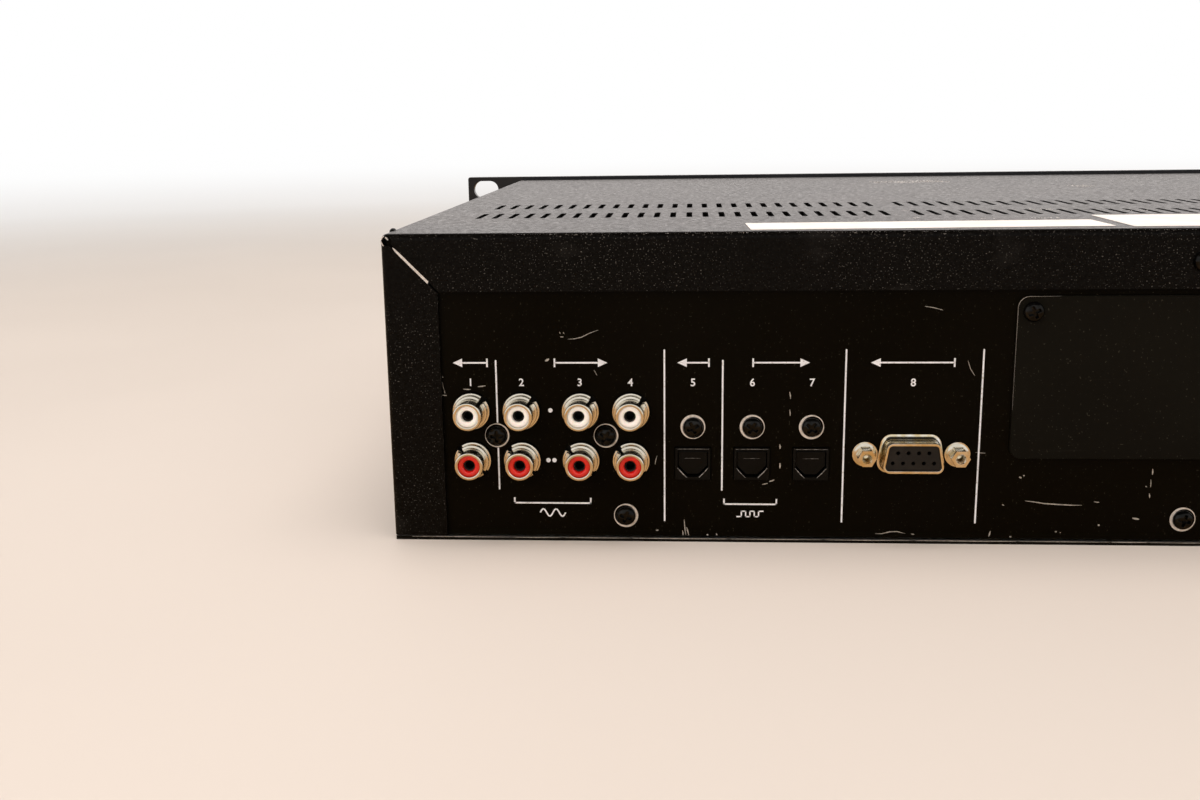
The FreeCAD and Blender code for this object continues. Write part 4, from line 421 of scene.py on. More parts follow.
@dataclass(frozen=True)
class Studio(Finish):
    """Paper of the floor and backdrop: it takes shadows, and shows white far from the deck."""

    glossed: str = "#bd9c6e"  # what shiny pieces see of the floor near the deck
    # metres from the deck's middle where it starts to turn white, and where it is white
    eye_reach: Point2 = (0.55, 2.2)
    gloss_reach: Point2 = (0.7, 2.0)

    def material(self) -> bpy.types.Material:
        """Paper that turns to white light far off, at its own distances for the eye and for gloss.

        Returns:
            The material.
        """
        made = bpy.data.materials.new(self.name)
        tree = cleared(made)
        path = add_node(tree, "ShaderNodeLightPath").outputs
        colour = blend(tree, path["Is Glossy Ray"], self.tone(tree), linear(self.glossed))
        paper = add_node(tree, "ShaderNodeBsdfPrincipled", {
            "Base Color": colour, "Roughness": self.roughness[0]})
        white = add_node(tree, "ShaderNodeEmission", {"Color": (1, 1, 1, 1), "Strength": 1.0})
        place = add_node(tree, "ShaderNodeTexCoord").outputs["Object"]
        reach = add_node(tree, "ShaderNodeVectorMath", {0: place}, operation="LENGTH").outputs["Value"]
        eye = reckon(tree, "MAXIMUM", path["Is Camera Ray"], path["Is Transmission Ray"])
        eye = reckon(tree, "MULTIPLY", eye, remap(tree, reach, self.eye_reach, curve="SMOOTHSTEP"))
        gloss = remap(tree, reach, self.gloss_reach, curve="SMOOTHSTEP")
        gloss = reckon(tree, "MULTIPLY", path["Is Glossy Ray"], gloss)
        share = reckon(tree, "MAXIMUM", eye, gloss)
        both = add_node(tree, "ShaderNodeMixShader", {0: share, 1: paper.outputs[0], 2: white.outputs[0]})
        add_node(tree, "ShaderNodeOutputMaterial", {"Surface": both.outputs[0]})
        return made


# Polyester powder, sprayed and baked over steel: black pebbles with painted glints, grey at a low angle, and
# paler on top with dust and painted sheen.
POWDER_COAT = PowderCoat("textured_powder_coat", "#050403", "#0b0a08", 1.2, (0.26, 0.4), 1.5, 0.5, 0.05,
                         mirror=0.06)
# Satin stoving enamel on the jack panel: smooth and near black, a little warm.
SATIN_ENAMEL = Paint("satin_stoved_enamel", "#070501", "#090703", 60.0, (0.34, 0.44), 25.0, 1.6, 0.004,
                     mirror=0.035)
# Matte enamel on the blank plate: a little paler and flatter than the panel round it.
MATTE_ENAMEL = Paint("matte_stoved_enamel", "#0e0d09", "#12110c", 40.0, (0.5, 0.6), 20.0, 0.8, 0.006,
                     mirror=0.05)
# Blackened screws: steel boiled in oxide and oiled, so they glint a dark grey.
BLACK_OXIDE = Finish("black_oxide_steel", "#121211", "#232220", 2.0, (0.14, 0.24), 1.5, 0.4, 0.001,
                     metallic=0.85)
# Nickel over brass, barrel plated: warm, bright and a little uneven.
NICKEL = Finish("barrel_plated_nickel", "#d3cab9", "#e0d8c8", 3.0, (0.1, 0.2), 2.5, 0.5, 0.0015,
                metallic=1.0)
# Zinc with a yellow chromate dip: nearly silver in places and straw in others.
YELLOW_CHROMATE = Finish("yellow_chromate_zinc", "#e9e5dd", "#d9c69c", 2.6, (0.14, 0.24), 2.0, 0.5,
                         0.0015, metallic=1.0)
# Zinc-plated sheet, blue-white and softly brushed along the roll.
ZINC_SHEET = Finish("bright_zinc_sheet", "#b9bbbd", "#c9c8c3", 14.0, (0.3, 0.42), 10.0, 0.5, 0.006,
                    (14.0, 1.0, 1.0), metallic=1.0)
# Steel laid bare where the coat was masked or broken at a fold.
BARE_STEEL = Finish("masked_bare_steel", "#c9c6c1", "#e6e4e0", 0.8, (0.28, 0.5), 0.7, 0.25, 0.02,
                    metallic=0.4)
# Scratches: the primer and the steel under the paint, greyer than a clean edge; also the painted highlight
# along the bottom plate's upper edge.
SCRAPES_AND_EDGE_HIGHLIGHT = Finish("scraped_primer", "#8f8c85", "#bdbab3", 0.6, (0.4, 0.55), 0.5, 0.2, 0.02, metallic=0.3)
# Ground shafts and springy strip: cool and bright.
GROUND_STEEL = Finish("ground_steel", "#c4c5c8", "#d2d2d2", 4.0, (0.16, 0.26), 3.0, 0.3, 0.003,
                      (1.0, 8.0, 1.0), metallic=1.0)
# Black ABS with a fine spark-eroded texture.
BLACK_ABS = Moulding("moulded_black_abs", "#080807", "#0c0c0b", 9.0, (0.3, 0.42), 6.0, 0.35, 0.008,
                     mirror=0.09)
# The same plastic made pale, for painted highlights along the optical jacks' edges.
PAINTED_HIGHLIGHT_ABS = Moulding("rubbed_black_abs", "#4a4947", "#a5a4a0", 0.9, (0.3, 0.4), 1.0, 0.3, 0.01)
# Thermoset insulator: dull black with a brown cast.
BLACK_PHENOLIC = Moulding("moulded_phenolic", "#151413", "#1c1a18", 4.0, (0.45, 0.6), 3.0, 0.3, 0.01,
                          mirror=0.3)
# Front mouldings, sprayed to match the panel.
FRONT_PLASTIC = Moulding("sprayed_front_moulding", "#1c1c1e", "#222224", 12.0, (0.38, 0.5), 8.0, 0.4, 0.01)
# Grey ABS of the button caps.
BUTTON_GREY = Moulding("moulded_grey_abs", "#45464a", "#4c4d51", 8.0, (0.36, 0.48), 5.0, 0.4, 0.01)
# Ivory nylon of the phono inserts: glossy, and it glows a little.
IVORY_NYLON = Moulding("moulded_ivory_nylon", "#f4f1e9", "#fbf8f2", 3.0, (0.24, 0.34), 2.0, 0.6, 0.004,
                       glow=0.1, coat=0.2)
# Red nylon of the phono inserts.
RED_NYLON = Moulding("moulded_red_nylon", "#c4120b", "#d01c10", 3.0, (0.16, 0.24), 2.0, 0.6, 0.004,
                     glow=0.05, coat=0.3)
# Acetal gears: waxy off-white.
ACETAL = Moulding("moulded_acetal", "#e4e0d2", "#ece9de", 5.0, (0.34, 0.46), 4.0, 0.5, 0.004, glow=0.3)
# Rubber belt, cut square and dusted with talc.
RUBBER = Moulding("ground_rubber", "#1c1b1a", "#2a2927", 3.0, (0.65, 0.8), 2.0, 0.3, 0.02)
# Black anodised aluminium, brushed along the panel: a dyed oxide over the drawn-out scratches.
ANODISED = Finish("brushed_black_anodised_aluminium", "#1d1d1f", "#252527", 45.0, (0.3, 0.42), 0.5, 0.22,
                  0.007, (70.0, 1.0, 1.0), metallic=0.55)
# Smoked acrylic of the display's window, polished.
SMOKED_ACRYLIC = Pane("smoked_acrylic", "#15181b", "#181b1e", 60.0, (0.03, 0.05), 40.0, 30.0, 0.002,
                      ior=1.49, clear=0.55)
# Soda glass of the display tube, with its grey getter behind it.
TUBE_GLASS = Pane("display_tube_glass", "#182322", "#1d2927", 30.0, (0.05, 0.08), 20.0, 20.0, 0.002,
                  ior=1.52, clear=0.15)
# Circuit board: glass-epoxy under green solder resist.
BOARD = SolderMask("green_solder_resist", "#174a2a", "#1c5530", 18.0, (0.28, 0.4), 6.0, 0.6, 0.01)
# Black parts of a board: epoxy mouldings and printed sleeves.
EPOXY_BLACK = Moulding("moulded_epoxy", "#18191c", "#202124", 6.0, (0.4, 0.55), 4.0, 0.3, 0.008)
# Transformer iron: varnished laminations, seen as fine lines.
LAMINATIONS = Striped("varnished_laminations", "#5b5650", "#322f2c", 20.0, (0.35, 0.5), 8.0, 0.5, 0.05,
                      metallic=0.6, axis="Y", period=1.0)
# Enamelled copper, wound in layers.
COPPER_WIRE = Striped("enamelled_copper_wire", "#a4562a", "#4c2413", 20.0, (0.25, 0.4), 4.0, 0.5, 0.1,
                      metallic=0.9, axis="Z", period=1.2)
# Flat cable: grey PVC with a ridge over each wire.
FLAT_CABLE = Striped("ribbed_grey_pvc", "#b4b5b8", "#8e8f93", 20.0, (0.4, 0.5), 8.0, 0.5, 0.15,
                     axis="X", period=1.27)
# White epoxy ink, screen printed: slightly thin and broken at the edges.
WHITE_INK = Paint("screen_printed_ink", "#eceef1", "#dcdee2", 3.0, (0.5, 0.6), 3.0, 0.3, 0.004,
                  dust="#a9a59b", dust_window=(0.66, 0.74))
# Unlit segments behind the display's glass: pale phosphor on a dark grid.
PHOSPHOR = Finish("unlit_phosphor", "#7e8f8a", "#74857f", 10.0, (0.6, 0.7), 5.0, 0.4, 0.004)
# Paper label with a plain, slightly soiled face.
LABEL_PAPER = Finish("coated_label_paper", "#f6f4ef", "#eae7e0", 14.0, (0.4, 0.5), 9.0, 0.3, 0.004)
# Studio paper, pale and plain.
STUDIO_PAPER = Studio("studio_paper", "#d9d5ce", "#d5d1ca", 300.0, (0.7, 0.7))


# ---- mesh making -------------------------------------------------------------------------
class Facing(Enum):
    """Ways that a surface may face, as its right, its up and its outward direction."""

    REAR = ((-1, 0, 0), (0, 0, 1), (0, 1, 0))
    FRONT = ((1, 0, 0), (0, 0, 1), (0, -1, 0))
    TOP = ((-1, 0, 0), (0, -1, 0), (0, 0, 1))
    LEFT = ((0, 1, 0), (0, 0, 1), (1, 0, 0))
    RIGHT = ((0, -1, 0), (0, 0, 1), (-1, 0, 0))

    def at(self, x: float, y: float, z: float, turn: float = 0.0) -> Matrix:
        """The frame of a detail on such a surface.

        Args:
            x, y, z: Its origin in the part's frame, in millimetres.
            turn: Degrees that it is turned on the surface.

        Returns:
            A matrix that carries the detail's own points there.
        """
        frame = Matrix([Vector(v) for v in self.value]).transposed().to_4x4()
        return Matrix.Translation((x, y, z)) @ frame @ Matrix.Rotation(math.radians(turn), 4, "Z")


def ring(radius: float, steps: int) -> list[Point2]:
    """The corners of a regular outline, anticlockwise."""
    angles = [2 * math.pi * k / steps for k in range(steps)]
    return [(radius * math.cos(a), radius * math.sin(a)) for a in angles]


def block(x0: float, y0: float, x1: float, y1: float) -> list[Point2]:
    """A rectangle from one corner to the opposite one."""
    return [(x0, y0), (x1, y0), (x1, y1), (x0, y1)]


def rounded(corners: Outline, radius: float, steps: int = 4) -> list[Point2]:
    """An outline with its corners rounded.

    Args:
        corners: Its sharp corners, anticlockwise.
        radius: Of the rounding.
        steps: Facets in each corner.

    Returns:
        The rounded outline, anticlockwise.
    """
    outline = []
    for k, corner in enumerate(corners):
        here = Vector(corner)
        back = (Vector(corners[k - 1]) - here).normalized()
        ahead = (Vector(corners[(k + 1) % len(corners)]) - here).normalized()
        half = back.angle(ahead) / 2
        middle = here + (back + ahead).normalized() * (radius / math.sin(half))
        arm = here + back * (radius / math.tan(half)) - middle
        for i in range(steps + 1):
            outline.append(tuple(middle + Matrix.Rotation((math.pi - 2 * half) * i / steps, 2) @ arm))
    return outline


def oblong(width: float, height: float, radius: float = 0.0, steps: int = 4) -> list[Point2]:
    """A rectangle about its middle, with sharp or rounded corners."""
    corners = block(-width / 2, -height / 2, width / 2, height / 2)
    return rounded(corners, radius, steps) if radius > 0 else corners


def stroke(path: Outline, width: float, taper: bool = True) -> list[Point2]:
    """The outline of a thin mark along a path.

    Args:
        path: Its centre line.
        width: Its greatest width.
        taper: Whether its ends run to points.

    Returns:
        A closed outline.
    """
    left, right = [], []
    last = len(path) - 1
    for i, (x, y) in enumerate(path):
        ax, ay = path[max(i - 1, 0)]
        bx, by = path[min(i + 1, last)]
        size = math.hypot(bx - ax, by - ay) or 1.0
        half = width / 2
        if taper:
            half *= 0.12 + 0.88 * math.sin(math.pi * (i + 0.35) / (last + 0.7))
        nx, ny = -(by - ay) / size * half, (bx - ax) / size * half
        left.append((x + nx, y + ny))
        right.append((x - nx, y - ny))
    return right + left[::-1]


def stand(name: str, data: bpy.types.ID) -> Object:
    """A new object of that name and data, in the scene.

    Args:
        name: Its name.
        data: Its data.

    Returns:
        The object.
    """
    made = bpy.data.objects.new(name, data)
    bpy.context.scene.collection.objects.link(made)
    return made


class Shaper:
    """Collects closed shapes in millimetres, and casts them as one piece."""

    def __init__(self) -> None:
        """Starts empty."""
        self.points: list[Vector] = []
        self.faces: list[list[int]] = []

    def take(self, points: Sequence[Sequence[float]], faces: Sequence[Sequence[int]], frame: Matrix) -> None:
        """Adds a mesh.

        Args:
            points: Its points in its own frame.
            faces: Its faces, as numbers of those points.
            frame: Where it goes.
        """
        first = len(self.points)
        self.points += [frame @ Vector(p) for p in points]
        self.faces += [[first + i for i in face] for face in faces]

    def prism(self, outline: Outline, frame: Matrix, low: float, high: float,
              top: Outline | None = None) -> None:
        """Adds a straight or tapered prism.

        Args:
            outline: Its foot.
            frame: Its place; the outline lies in its first two axes.
            low: Height of the foot along the third axis.
            high: Height of the top.
            top: The outline there, if it differs.
        """
        area = sum(a[0] * b[1] - b[0] * a[1] for a, b in zip(outline, [*outline[1:], outline[0]]))
        foot, head = list(outline), list(top or outline)
        if area < 0:
            foot, head = foot[::-1], head[::-1]
        n = len(foot)
        points = [(x, y, low) for x, y in foot] + [(x, y, high) for x, y in head]
        sides = [[i, (i + 1) % n, n + (i + 1) % n, n + i] for i in range(n)]
        self.take(points, [list(range(n))[::-1], list(range(n, 2 * n)), *sides], frame)

    def hoop(self, outer: Outline, inner: Outline, frame: Matrix, low: float,
             high: float) -> None:
        """Adds a flat hoop between two outlines with as many corners as each other."""
        self.sleeve([(outer, low), (outer, high), (inner, high), (inner, low)], frame)

    def sleeve(self, rows: Sequence[tuple[Outline, float]], frame: Matrix) -> None:
        """Adds a hollow shape whose section runs through several outlines and back to the first.

        Args:
            rows: Each outline and its height; all have as many corners.
            frame: Its place.
        """
        n = len(rows[0][0])
        points = [(x, y, height) for outline, height in rows for x, y in outline]
        faces = []
        for k in range(len(rows)):
            here, there = k * n, (k + 1) % len(rows) * n
            faces += [[here + i, here + (i + 1) % n, there + (i + 1) % n, there + i] for i in range(n)]
        self.take(points, faces, frame)

    def turned(self, profile: Outline, frame: Matrix, steps: int = 48,
               dents: Sequence[float] = (), dent: Point3 = (4.0, 8.0, 1.0)) -> None:
        """Adds a turned shape.

        Args:
            profile: Its section as (radius, height), closed unless it starts and ends on the axis.
            frame: Its place; it is turned about the third axis.
            steps: Facets round it.
            dents: Degrees at which its rim is notched.
            dent: Radius of the notch's floor, half its angle, and how high it reaches.
        """
        closed = profile[0][0] > 0
        count = len(profile)
        points = []
        for k in range(steps):
            angle = 2 * math.pi * k / steps
            turn = math.degrees(angle)
            cut = any(abs((turn - d + 180) % 360 - 180) < dent[1] for d in dents)
            for radius, height in profile:
                radius = min(radius, dent[0]) if cut and height < dent[2] else radius
                points.append((radius * math.cos(angle), radius * math.sin(angle), height))
        faces = []
        for k in range(steps):
            here, there = k * count, (k + 1) % steps * count
            for i in range(count if closed else count - 1):
                j = (i + 1) % count
                faces.append([here + i, there + i, there + j, here + j])
        self.take(points, faces, frame)

    def numeral(self, text: str, height: float, frame: Matrix, low: float, high: float) -> None:
        """Adds plain figures.

        Args:
            text: The figures.
            height: Their height.
            frame: The middle of the text.
            low: Their foot above the surface.
            high: Their face above it.
        """
        curve = bpy.data.curves.new("figures", "FONT")
        curve.body, curve.size, curve.resolution_u = text, height / 0.7, 3
        curve.align_x, curve.align_y, curve.extrude = "CENTER", "CENTER", (high - low) / 2
        curve.offset = 0.02 * height
        holder = stand("figures", curve)
        mesh = bpy.data.meshes.new_from_object(holder.evaluated_get(bpy.context.evaluated_depsgraph_get()))
        lift = Matrix.Translation((0, 0, (high + low) / 2))
        faces = [list(p.vertices) for p in mesh.polygons]
        self.take([tuple(v.co) for v in mesh.vertices], faces, frame @ lift)
        bpy.data.objects.remove(holder)
        bpy.data.curves.remove(curve)
        bpy.data.meshes.remove(mesh)

    def cast(self, name: str, finish: Finish, edge: float = 0.0, segments: int = 2) -> Object:
        """Turns what was collected into a piece.

        Args:
            name: The piece's name.
            finish: Its finish.
            edge: Width of the rounding along its sharp edges.
            segments: Facets across that rounding.

        Returns:
            The piece, at the origin, in metres.
        """
        shape = bmesh.new()
        points = [shape.verts.new(p * MM) for p in self.points]
        for face in self.faces:
            corners = [points[i] for i in face]
            if len(set(corners)) == len(corners):
                shape.faces.new(corners)
        return cast_shape(shape, name, finish, edge, segments)


class Print(Shaper):
    """Collects printed marks, which stand a hair above a face."""

    foot = 0.01
    face = 0.04

    def mark(self, outline: Outline, frame: Matrix) -> None:
        """Adds a filled mark."""
        self.prism(outline, frame, self.foot, self.face)

    def loop(self, outer: Outline, inner: Outline, frame: Matrix) -> None:
        """Adds a mark that is open inside."""
        self.hoop(outer, inner, frame, self.foot, self.face)

    def figures(self, text: str, height: float, frame: Matrix) -> None:
        """Adds plain figures."""
        self.numeral(text, height, frame, self.foot, self.face)


def cast_shape(shape: bmesh.types.BMesh, name: str, finish: Finish, edge: float, segments: int) -> Object:
    """Merges, turns outward, rounds and smooths a shape, and makes it a piece.

    Args:
        shape: The shape, which is used up.
        name: The piece's name.
        finish: Its finish.
        edge: Width of the rounding along its sharp edges, in millimetres.
        segments: Facets across that rounding.

    Returns:
        The piece.
    """
    bmesh.ops.remove_doubles(shape, verts=shape.verts, dist=WELD)
    bmesh.ops.dissolve_degenerate(shape, edges=shape.edges, dist=WELD / 2)
    bmesh.ops.recalc_face_normals(shape, faces=shape.faces)
    for face in shape.faces:
        face.smooth = True
    mesh = bpy.data.meshes.new(name)
    shape.to_mesh(mesh)
    shape.free()
    piece = stand(name, mesh)
    mesh.materials.append(finish.material())
    ease(piece, edge, segments)
    return piece


def ease(piece: Object, edge: float, segments: int) -> None:
    """Rounds the sharp edges of a piece and shades it evenly.

    Args:
        piece: The piece; its mesh is exchanged.
        edge: Width of the rounding in millimetres; 0 leaves the edges sharp.
        segments: Facets across it.
    """
    if edge > 0:
        bevel = piece.modifiers.new("edges", "BEVEL")
        bevel.width, bevel.segments = edge * MM, segments
        bevel.limit_method, bevel.angle_limit = "ANGLE", CREASE
    else:
        piece.data.set_sharp_from_angle(angle=CREASE)
    normals = piece.modifiers.new("normals", "WEIGHTED_NORMAL")
    normals.keep_sharp = True
    exchange(piece)


def exchange(piece: Object) -> None:
    """Gives a piece the mesh that its modifiers make, and takes the modifiers off.

    Args:
        piece: The piece.
    """
    graph = bpy.context.evaluated_depsgraph_get()
    made = bpy.data.meshes.new_from_object(piece.evaluated_get(graph))
    old = piece.data
    piece.modifiers.clear()
    piece.data = made
    bpy.data.meshes.remove(old)


# ---- geometry trees ----------------------------------------------------------------------
class Grower:
    """A Geometry Nodes tree with named sizes, run on a throwaway object to give a plain mesh."""

    def __init__(self, name: str, sizes: dict[str, str]) -> None:
        """Opens the tree.

        Args:
            name: The tree's name.
            sizes: Its inputs, each with the short name of its kind.
        """
        kinds = {"float": "NodeSocketFloat", "int": "NodeSocketInt", "object": "NodeSocketObject",
                 "material": "NodeSocketMaterial"}
        self.tree = bpy.data.node_groups.new(name, "GeometryNodeTree")
        face = self.tree.interface
        face.new_socket("Geometry", in_out="INPUT", socket_type="NodeSocketGeometry")
        for label, kind in sizes.items():
            face.new_socket(label, in_out="INPUT", socket_type=kinds[kind])
        face.new_socket("Geometry", in_out="OUTPUT", socket_type="NodeSocketGeometry")
        self.inputs = add_node(self.tree, "NodeGroupInput").outputs

    def close(self, grown: Socket) -> None:
        """Ends the tree in real meshes with one material.

        Args:
            grown: The socket that carries the instances.
        """
        real = add_node(self.tree, "GeometryNodeRealizeInstances", {"Geometry": grown})
        dressed = add_node(self.tree, "GeometryNodeSetMaterial", {
            "Geometry": real.outputs[0], "Material": self.inputs["Finish"]})
        add_node(self.tree, "NodeGroupOutput", {"Geometry": dressed.outputs[0]})

    def run(self, name: str, source: Mesh, sizes: dict[str, Any], frame: Matrix | None = None) -> Object:
        """Grows a piece.

        Args:
            name: The piece's name.
            source: The mesh that it grows on.
            sizes: A value for each named input.
            frame: Where the result goes, in millimetres, if it was grown about the origin.

        Returns:
            The piece, with a plain mesh.
        """
        piece = stand(name, source)
        grow = piece.modifiers.new("grow", "NODES")
        grow.node_group = self.tree
        for item in self.tree.interface.items_tree:
            if item.in_out == "INPUT" and item.name in sizes:
                grow[item.identifier] = sizes[item.name]
        exchange(piece)
        if frame is not None:
            placed = frame.copy()
            placed.translation *= MM
            piece.data.transform(placed)
        return piece


def scatter_tree() -> Grower:
    """Sets copies of one part on points that say which way each faces and how large it is.

    Returns:
        The tree.
    """
    grower = Grower("set_parts_on_points", {
        "Part": "object", "Loose Turn": "float", "Seed": "int", "Finish": "material"})
    tree, inputs = grower.tree, grower.inputs
    part = add_node(tree, "GeometryNodeObjectInfo", {"Object": inputs["Part"], "As Instance": True},
                    transform_space="ORIGINAL")
    facing = add_node(tree, "GeometryNodeInputNamedAttribute", {"Name": "facing"}, data_type="FLOAT_VECTOR")
    size = add_node(tree, "GeometryNodeInputNamedAttribute", {"Name": "size"}, data_type="FLOAT_VECTOR")
    least = reckon(tree, "MULTIPLY", inputs["Loose Turn"], -1.0)
    loose = add_node(tree, "FunctionNodeRandomValue", {
        2: least, 3: inputs["Loose Turn"], "Seed": inputs["Seed"]}, data_type="FLOAT")
    spin = add_node(tree, "ShaderNodeCombineXYZ", {"Z": loose.outputs[1]})
    spin = add_node(tree, "FunctionNodeEulerToRotation", {0: spin.outputs[0]})
    turn = add_node(tree, "FunctionNodeEulerToRotation", {0: facing.outputs["Attribute"]})
    turn = add_node(tree, "FunctionNodeRotateRotation", {0: turn.outputs[0], 1: spin.outputs[0]},
                    rotation_space="LOCAL")
    copies = add_node(tree, "GeometryNodeInstanceOnPoints", {
        "Points": inputs["Geometry"], "Instance": part.outputs["Geometry"], "Rotation": turn.outputs[0],
        "Scale": size.outputs["Attribute"]})
    grower.close(copies.outputs[0])
    return grower


def rib_tree() -> Grower:
    """Stands straight ribs round a knob, about the third axis.

    Returns:
        The tree.
    """
    grower = Grower("ribs_round_a_knob", {
        "Ribs": "int", "Radius": "float", "Length": "float", "Rib": "float", "Finish": "material"})
    tree, inputs = grower.tree, grower.inputs
    circle = add_node(tree, "GeometryNodeMeshCircle", {
        "Vertices": inputs["Ribs"], "Radius": inputs["Radius"]})
    bar = add_node(tree, "GeometryNodeMeshCylinder", {
        "Vertices": 6, "Radius": inputs["Rib"], "Depth": inputs["Length"]})
    step = reckon(tree, "DIVIDE", 2 * math.pi, inputs["Ribs"])
    number = add_node(tree, "GeometryNodeInputIndex")
    spin = add_node(tree, "ShaderNodeCombineXYZ", {"Z": reckon(tree, "MULTIPLY", number.outputs[0], step)})
    turn = add_node(tree, "FunctionNodeEulerToRotation", {0: spin.outputs[0]})
    copies = add_node(tree, "GeometryNodeInstanceOnPoints", {
        "Points": circle.outputs[0], "Instance": bar.outputs["Mesh"], "Rotation": turn.outputs[0]})
    grower.close(copies.outputs[0])
    return grower


def winding_tree() -> Grower:
    """Lays turns of wire on one another round an oblong former.

    Returns:
        The tree.
    """
    grower = Grower("turns_of_wire", {
        "Turns": "int", "Width": "float", "Depth": "float", "Corner": "float", "Wire": "float",
        "Finish": "material"})
    tree, inputs = grower.tree, grower.inputs
    rise = add_node(tree, "ShaderNodeCombineXYZ", {"Z": reckon(tree, "MULTIPLY", inputs["Wire"], 2.0)})
    line = add_node(tree, "GeometryNodeMeshLine", {"Count": inputs["Turns"], "Offset": rise.outputs[0]})
    loop = add_node(tree, "GeometryNodeCurvePrimitiveQuadrilateral", {
        "Width": inputs["Width"], "Height": inputs["Depth"]})
    loop = add_node(tree, "GeometryNodeFilletCurve", {
        "Curve": loop.outputs[0], "Radius": inputs["Corner"], "Count": 4}, mode="POLY")
    section = add_node(tree, "GeometryNodeCurvePrimitiveCircle", {
        "Resolution": 6, "Radius": inputs["Wire"]})
    wire = add_node(tree, "GeometryNodeCurveToMesh", {
        "Curve": loop.outputs[0], "Profile Curve": section.outputs[0]})
    copies = add_node(tree, "GeometryNodeInstanceOnPoints", {
        "Points": line.outputs[0], "Instance": wire.outputs[0]})
    grower.close(copies.outputs[0])
    return grower


def chip_tree() -> Grower:
    """Strews small flakes over a surface at random.

    Returns:
        The tree.
    """
    grower = Grower("strewn_flakes", {
        "Per Square Metre": "float", "Flake": "float", "Seed": "int", "Finish": "material"})
    tree, inputs = grower.tree, grower.inputs
    points = add_node(tree, "GeometryNodeDistributePointsOnFaces", {
        "Mesh": inputs["Geometry"], "Density": inputs["Per Square Metre"], "Seed": inputs["Seed"]})
    ball = add_node(tree, "GeometryNodeMeshIcoSphere", {"Radius": inputs["Flake"], "Subdivisions": 1})
    spin = add_node(tree, "FunctionNodeRandomValue", {
        0: (-0.25, -0.25, 0.0), 1: (0.25, 0.25, 6.28), "Seed": inputs["Seed"]}, data_type="FLOAT_VECTOR")
    spin = add_node(tree, "FunctionNodeEulerToRotation", {0: spin.outputs[0]})
    turn = add_node(tree, "FunctionNodeRotateRotation", {0: points.outputs["Rotation"], 1: spin.outputs[0]},
                    rotation_space="LOCAL")
    size = add_node(tree, "FunctionNodeRandomValue", {
        0: (0.3, 0.2, 0.12), 1: (1.0, 0.6, 0.2), "Seed": inputs["Seed"]}, data_type="FLOAT_VECTOR")
    copies = add_node(tree, "GeometryNodeInstanceOnPoints", {
        "Points": points.outputs["Points"], "Instance": ball.outputs["Mesh"], "Rotation": turn.outputs[0],
        "Scale": size.outputs[0]})
    grower.close(copies.outputs[0])
    return grower


# ---- the bench ---------------------------------------------------------------------------
class Bench:
    """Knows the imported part: which body a node rides on and which finish slot it has."""

    def __init__(self, frame: dict[str, Any]) -> None:
        """Reads the record and opens the geometry trees.
        """
        self.nodes: dict[str, Object] = frame["nodes"]
        record = frame["record"]
        self.body = {node: body for body, nodes in record["behaviour"]["bodies"].items() for node in nodes}
        self.slot = {row["node"]: row["material_slot"] for row in record["subparts"]}
        self.scatter = scatter_tree()
        self.ribs = rib_tree()
        self.winding = winding_tree()
        self.chips = chip_tree()

    def add(self, piece: Object, body: str = "root", slot: str | None = None,
            replaces: Sequence[str] = ()) -> Object:
        """Puts a piece on its body and reports it.

        Args:
            piece: The piece.
            body: The CAD body that it moves with.
            slot: The record's finish slot that it takes after, if one fits; not used.
            replaces: CAD nodes that it stands for.

        Returns:
            The piece.
        """
        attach(piece, body)
        if replaces:
            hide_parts(*replaces)
        log.info("%s: %d faces on %s", piece.name, len(piece.data.polygons), body)
        return piece

    def soften(self, node: str, finish: Finish, edge: float, segments: int = 2) -> Object:
        """Stands a copy with rounded edges in a node's place.

        Args:
            node: The CAD node.
            finish: The copy's finish.
            edge: Width of the rounding in millimetres.
            segments: Facets across it.

        Returns:
            The copy.
        """
        source = self.nodes[node].data
        shape = bmesh.new()
        points = [shape.verts.new(v.co) for v in source.vertices]
        for polygon in source.polygons:
            shape.faces.new([points[i] for i in polygon.vertices])
        bmesh.ops.remove_doubles(shape, verts=shape.verts, dist=WELD)
        bmesh.ops.dissolve_limit(shape, angle_limit=math.radians(0.8), verts=shape.verts, edges=shape.edges)
        piece = cast_shape(shape, node + "_soft", finish, edge, segments)
        return self.add(piece, self.body[node], self.slot[node], [node])

    def paint(self, node: str, finish: Finish) -> None:
        """Leaves a node's shape as it is and gives it a finish.

        Args:
            node: The node.
            finish: Its finish.
        """
        slots = self.nodes[node].data.materials
        slots.clear()
        slots.append(finish.material())

    def set_out(self, name: str, part: Object, spots: Sequence[tuple[Matrix, float]], finish: Finish,
                loose: float = 0.0, seed: int = 1) -> Object:
        """Sets copies of a part on the deck as one piece.

        Args:
            name: The new piece's name.
            part: The part, made about the origin and facing along its third axis; it is used up.
            spots: A frame in millimetres and a size for each copy.
            finish: The finish of the whole piece.
            loose: Degrees that each copy may be turned either way about its own axis.
            seed: Fixes those turns.

        Returns:
            The new piece, not yet on a body.
        """
        points = bpy.data.meshes.new(name)
        points.from_pydata([spot.translation * MM for spot, _ in spots], [], [])
        facing = points.attributes.new("facing", "FLOAT_VECTOR", "POINT")
        facing.data.foreach_set("vector", [a for spot, _ in spots for a in spot.to_euler("XYZ")])
        size = points.attributes.new("size", "FLOAT_VECTOR", "POINT")
        size.data.foreach_set("vector", [s for _, s in spots for _ in range(3)])
        piece = self.scatter.run(name, points, {
            "Part": part, "Loose Turn": math.radians(loose), "Seed": seed, "Finish": finish.material()})
        bpy.data.objects.remove(part)
        return piece


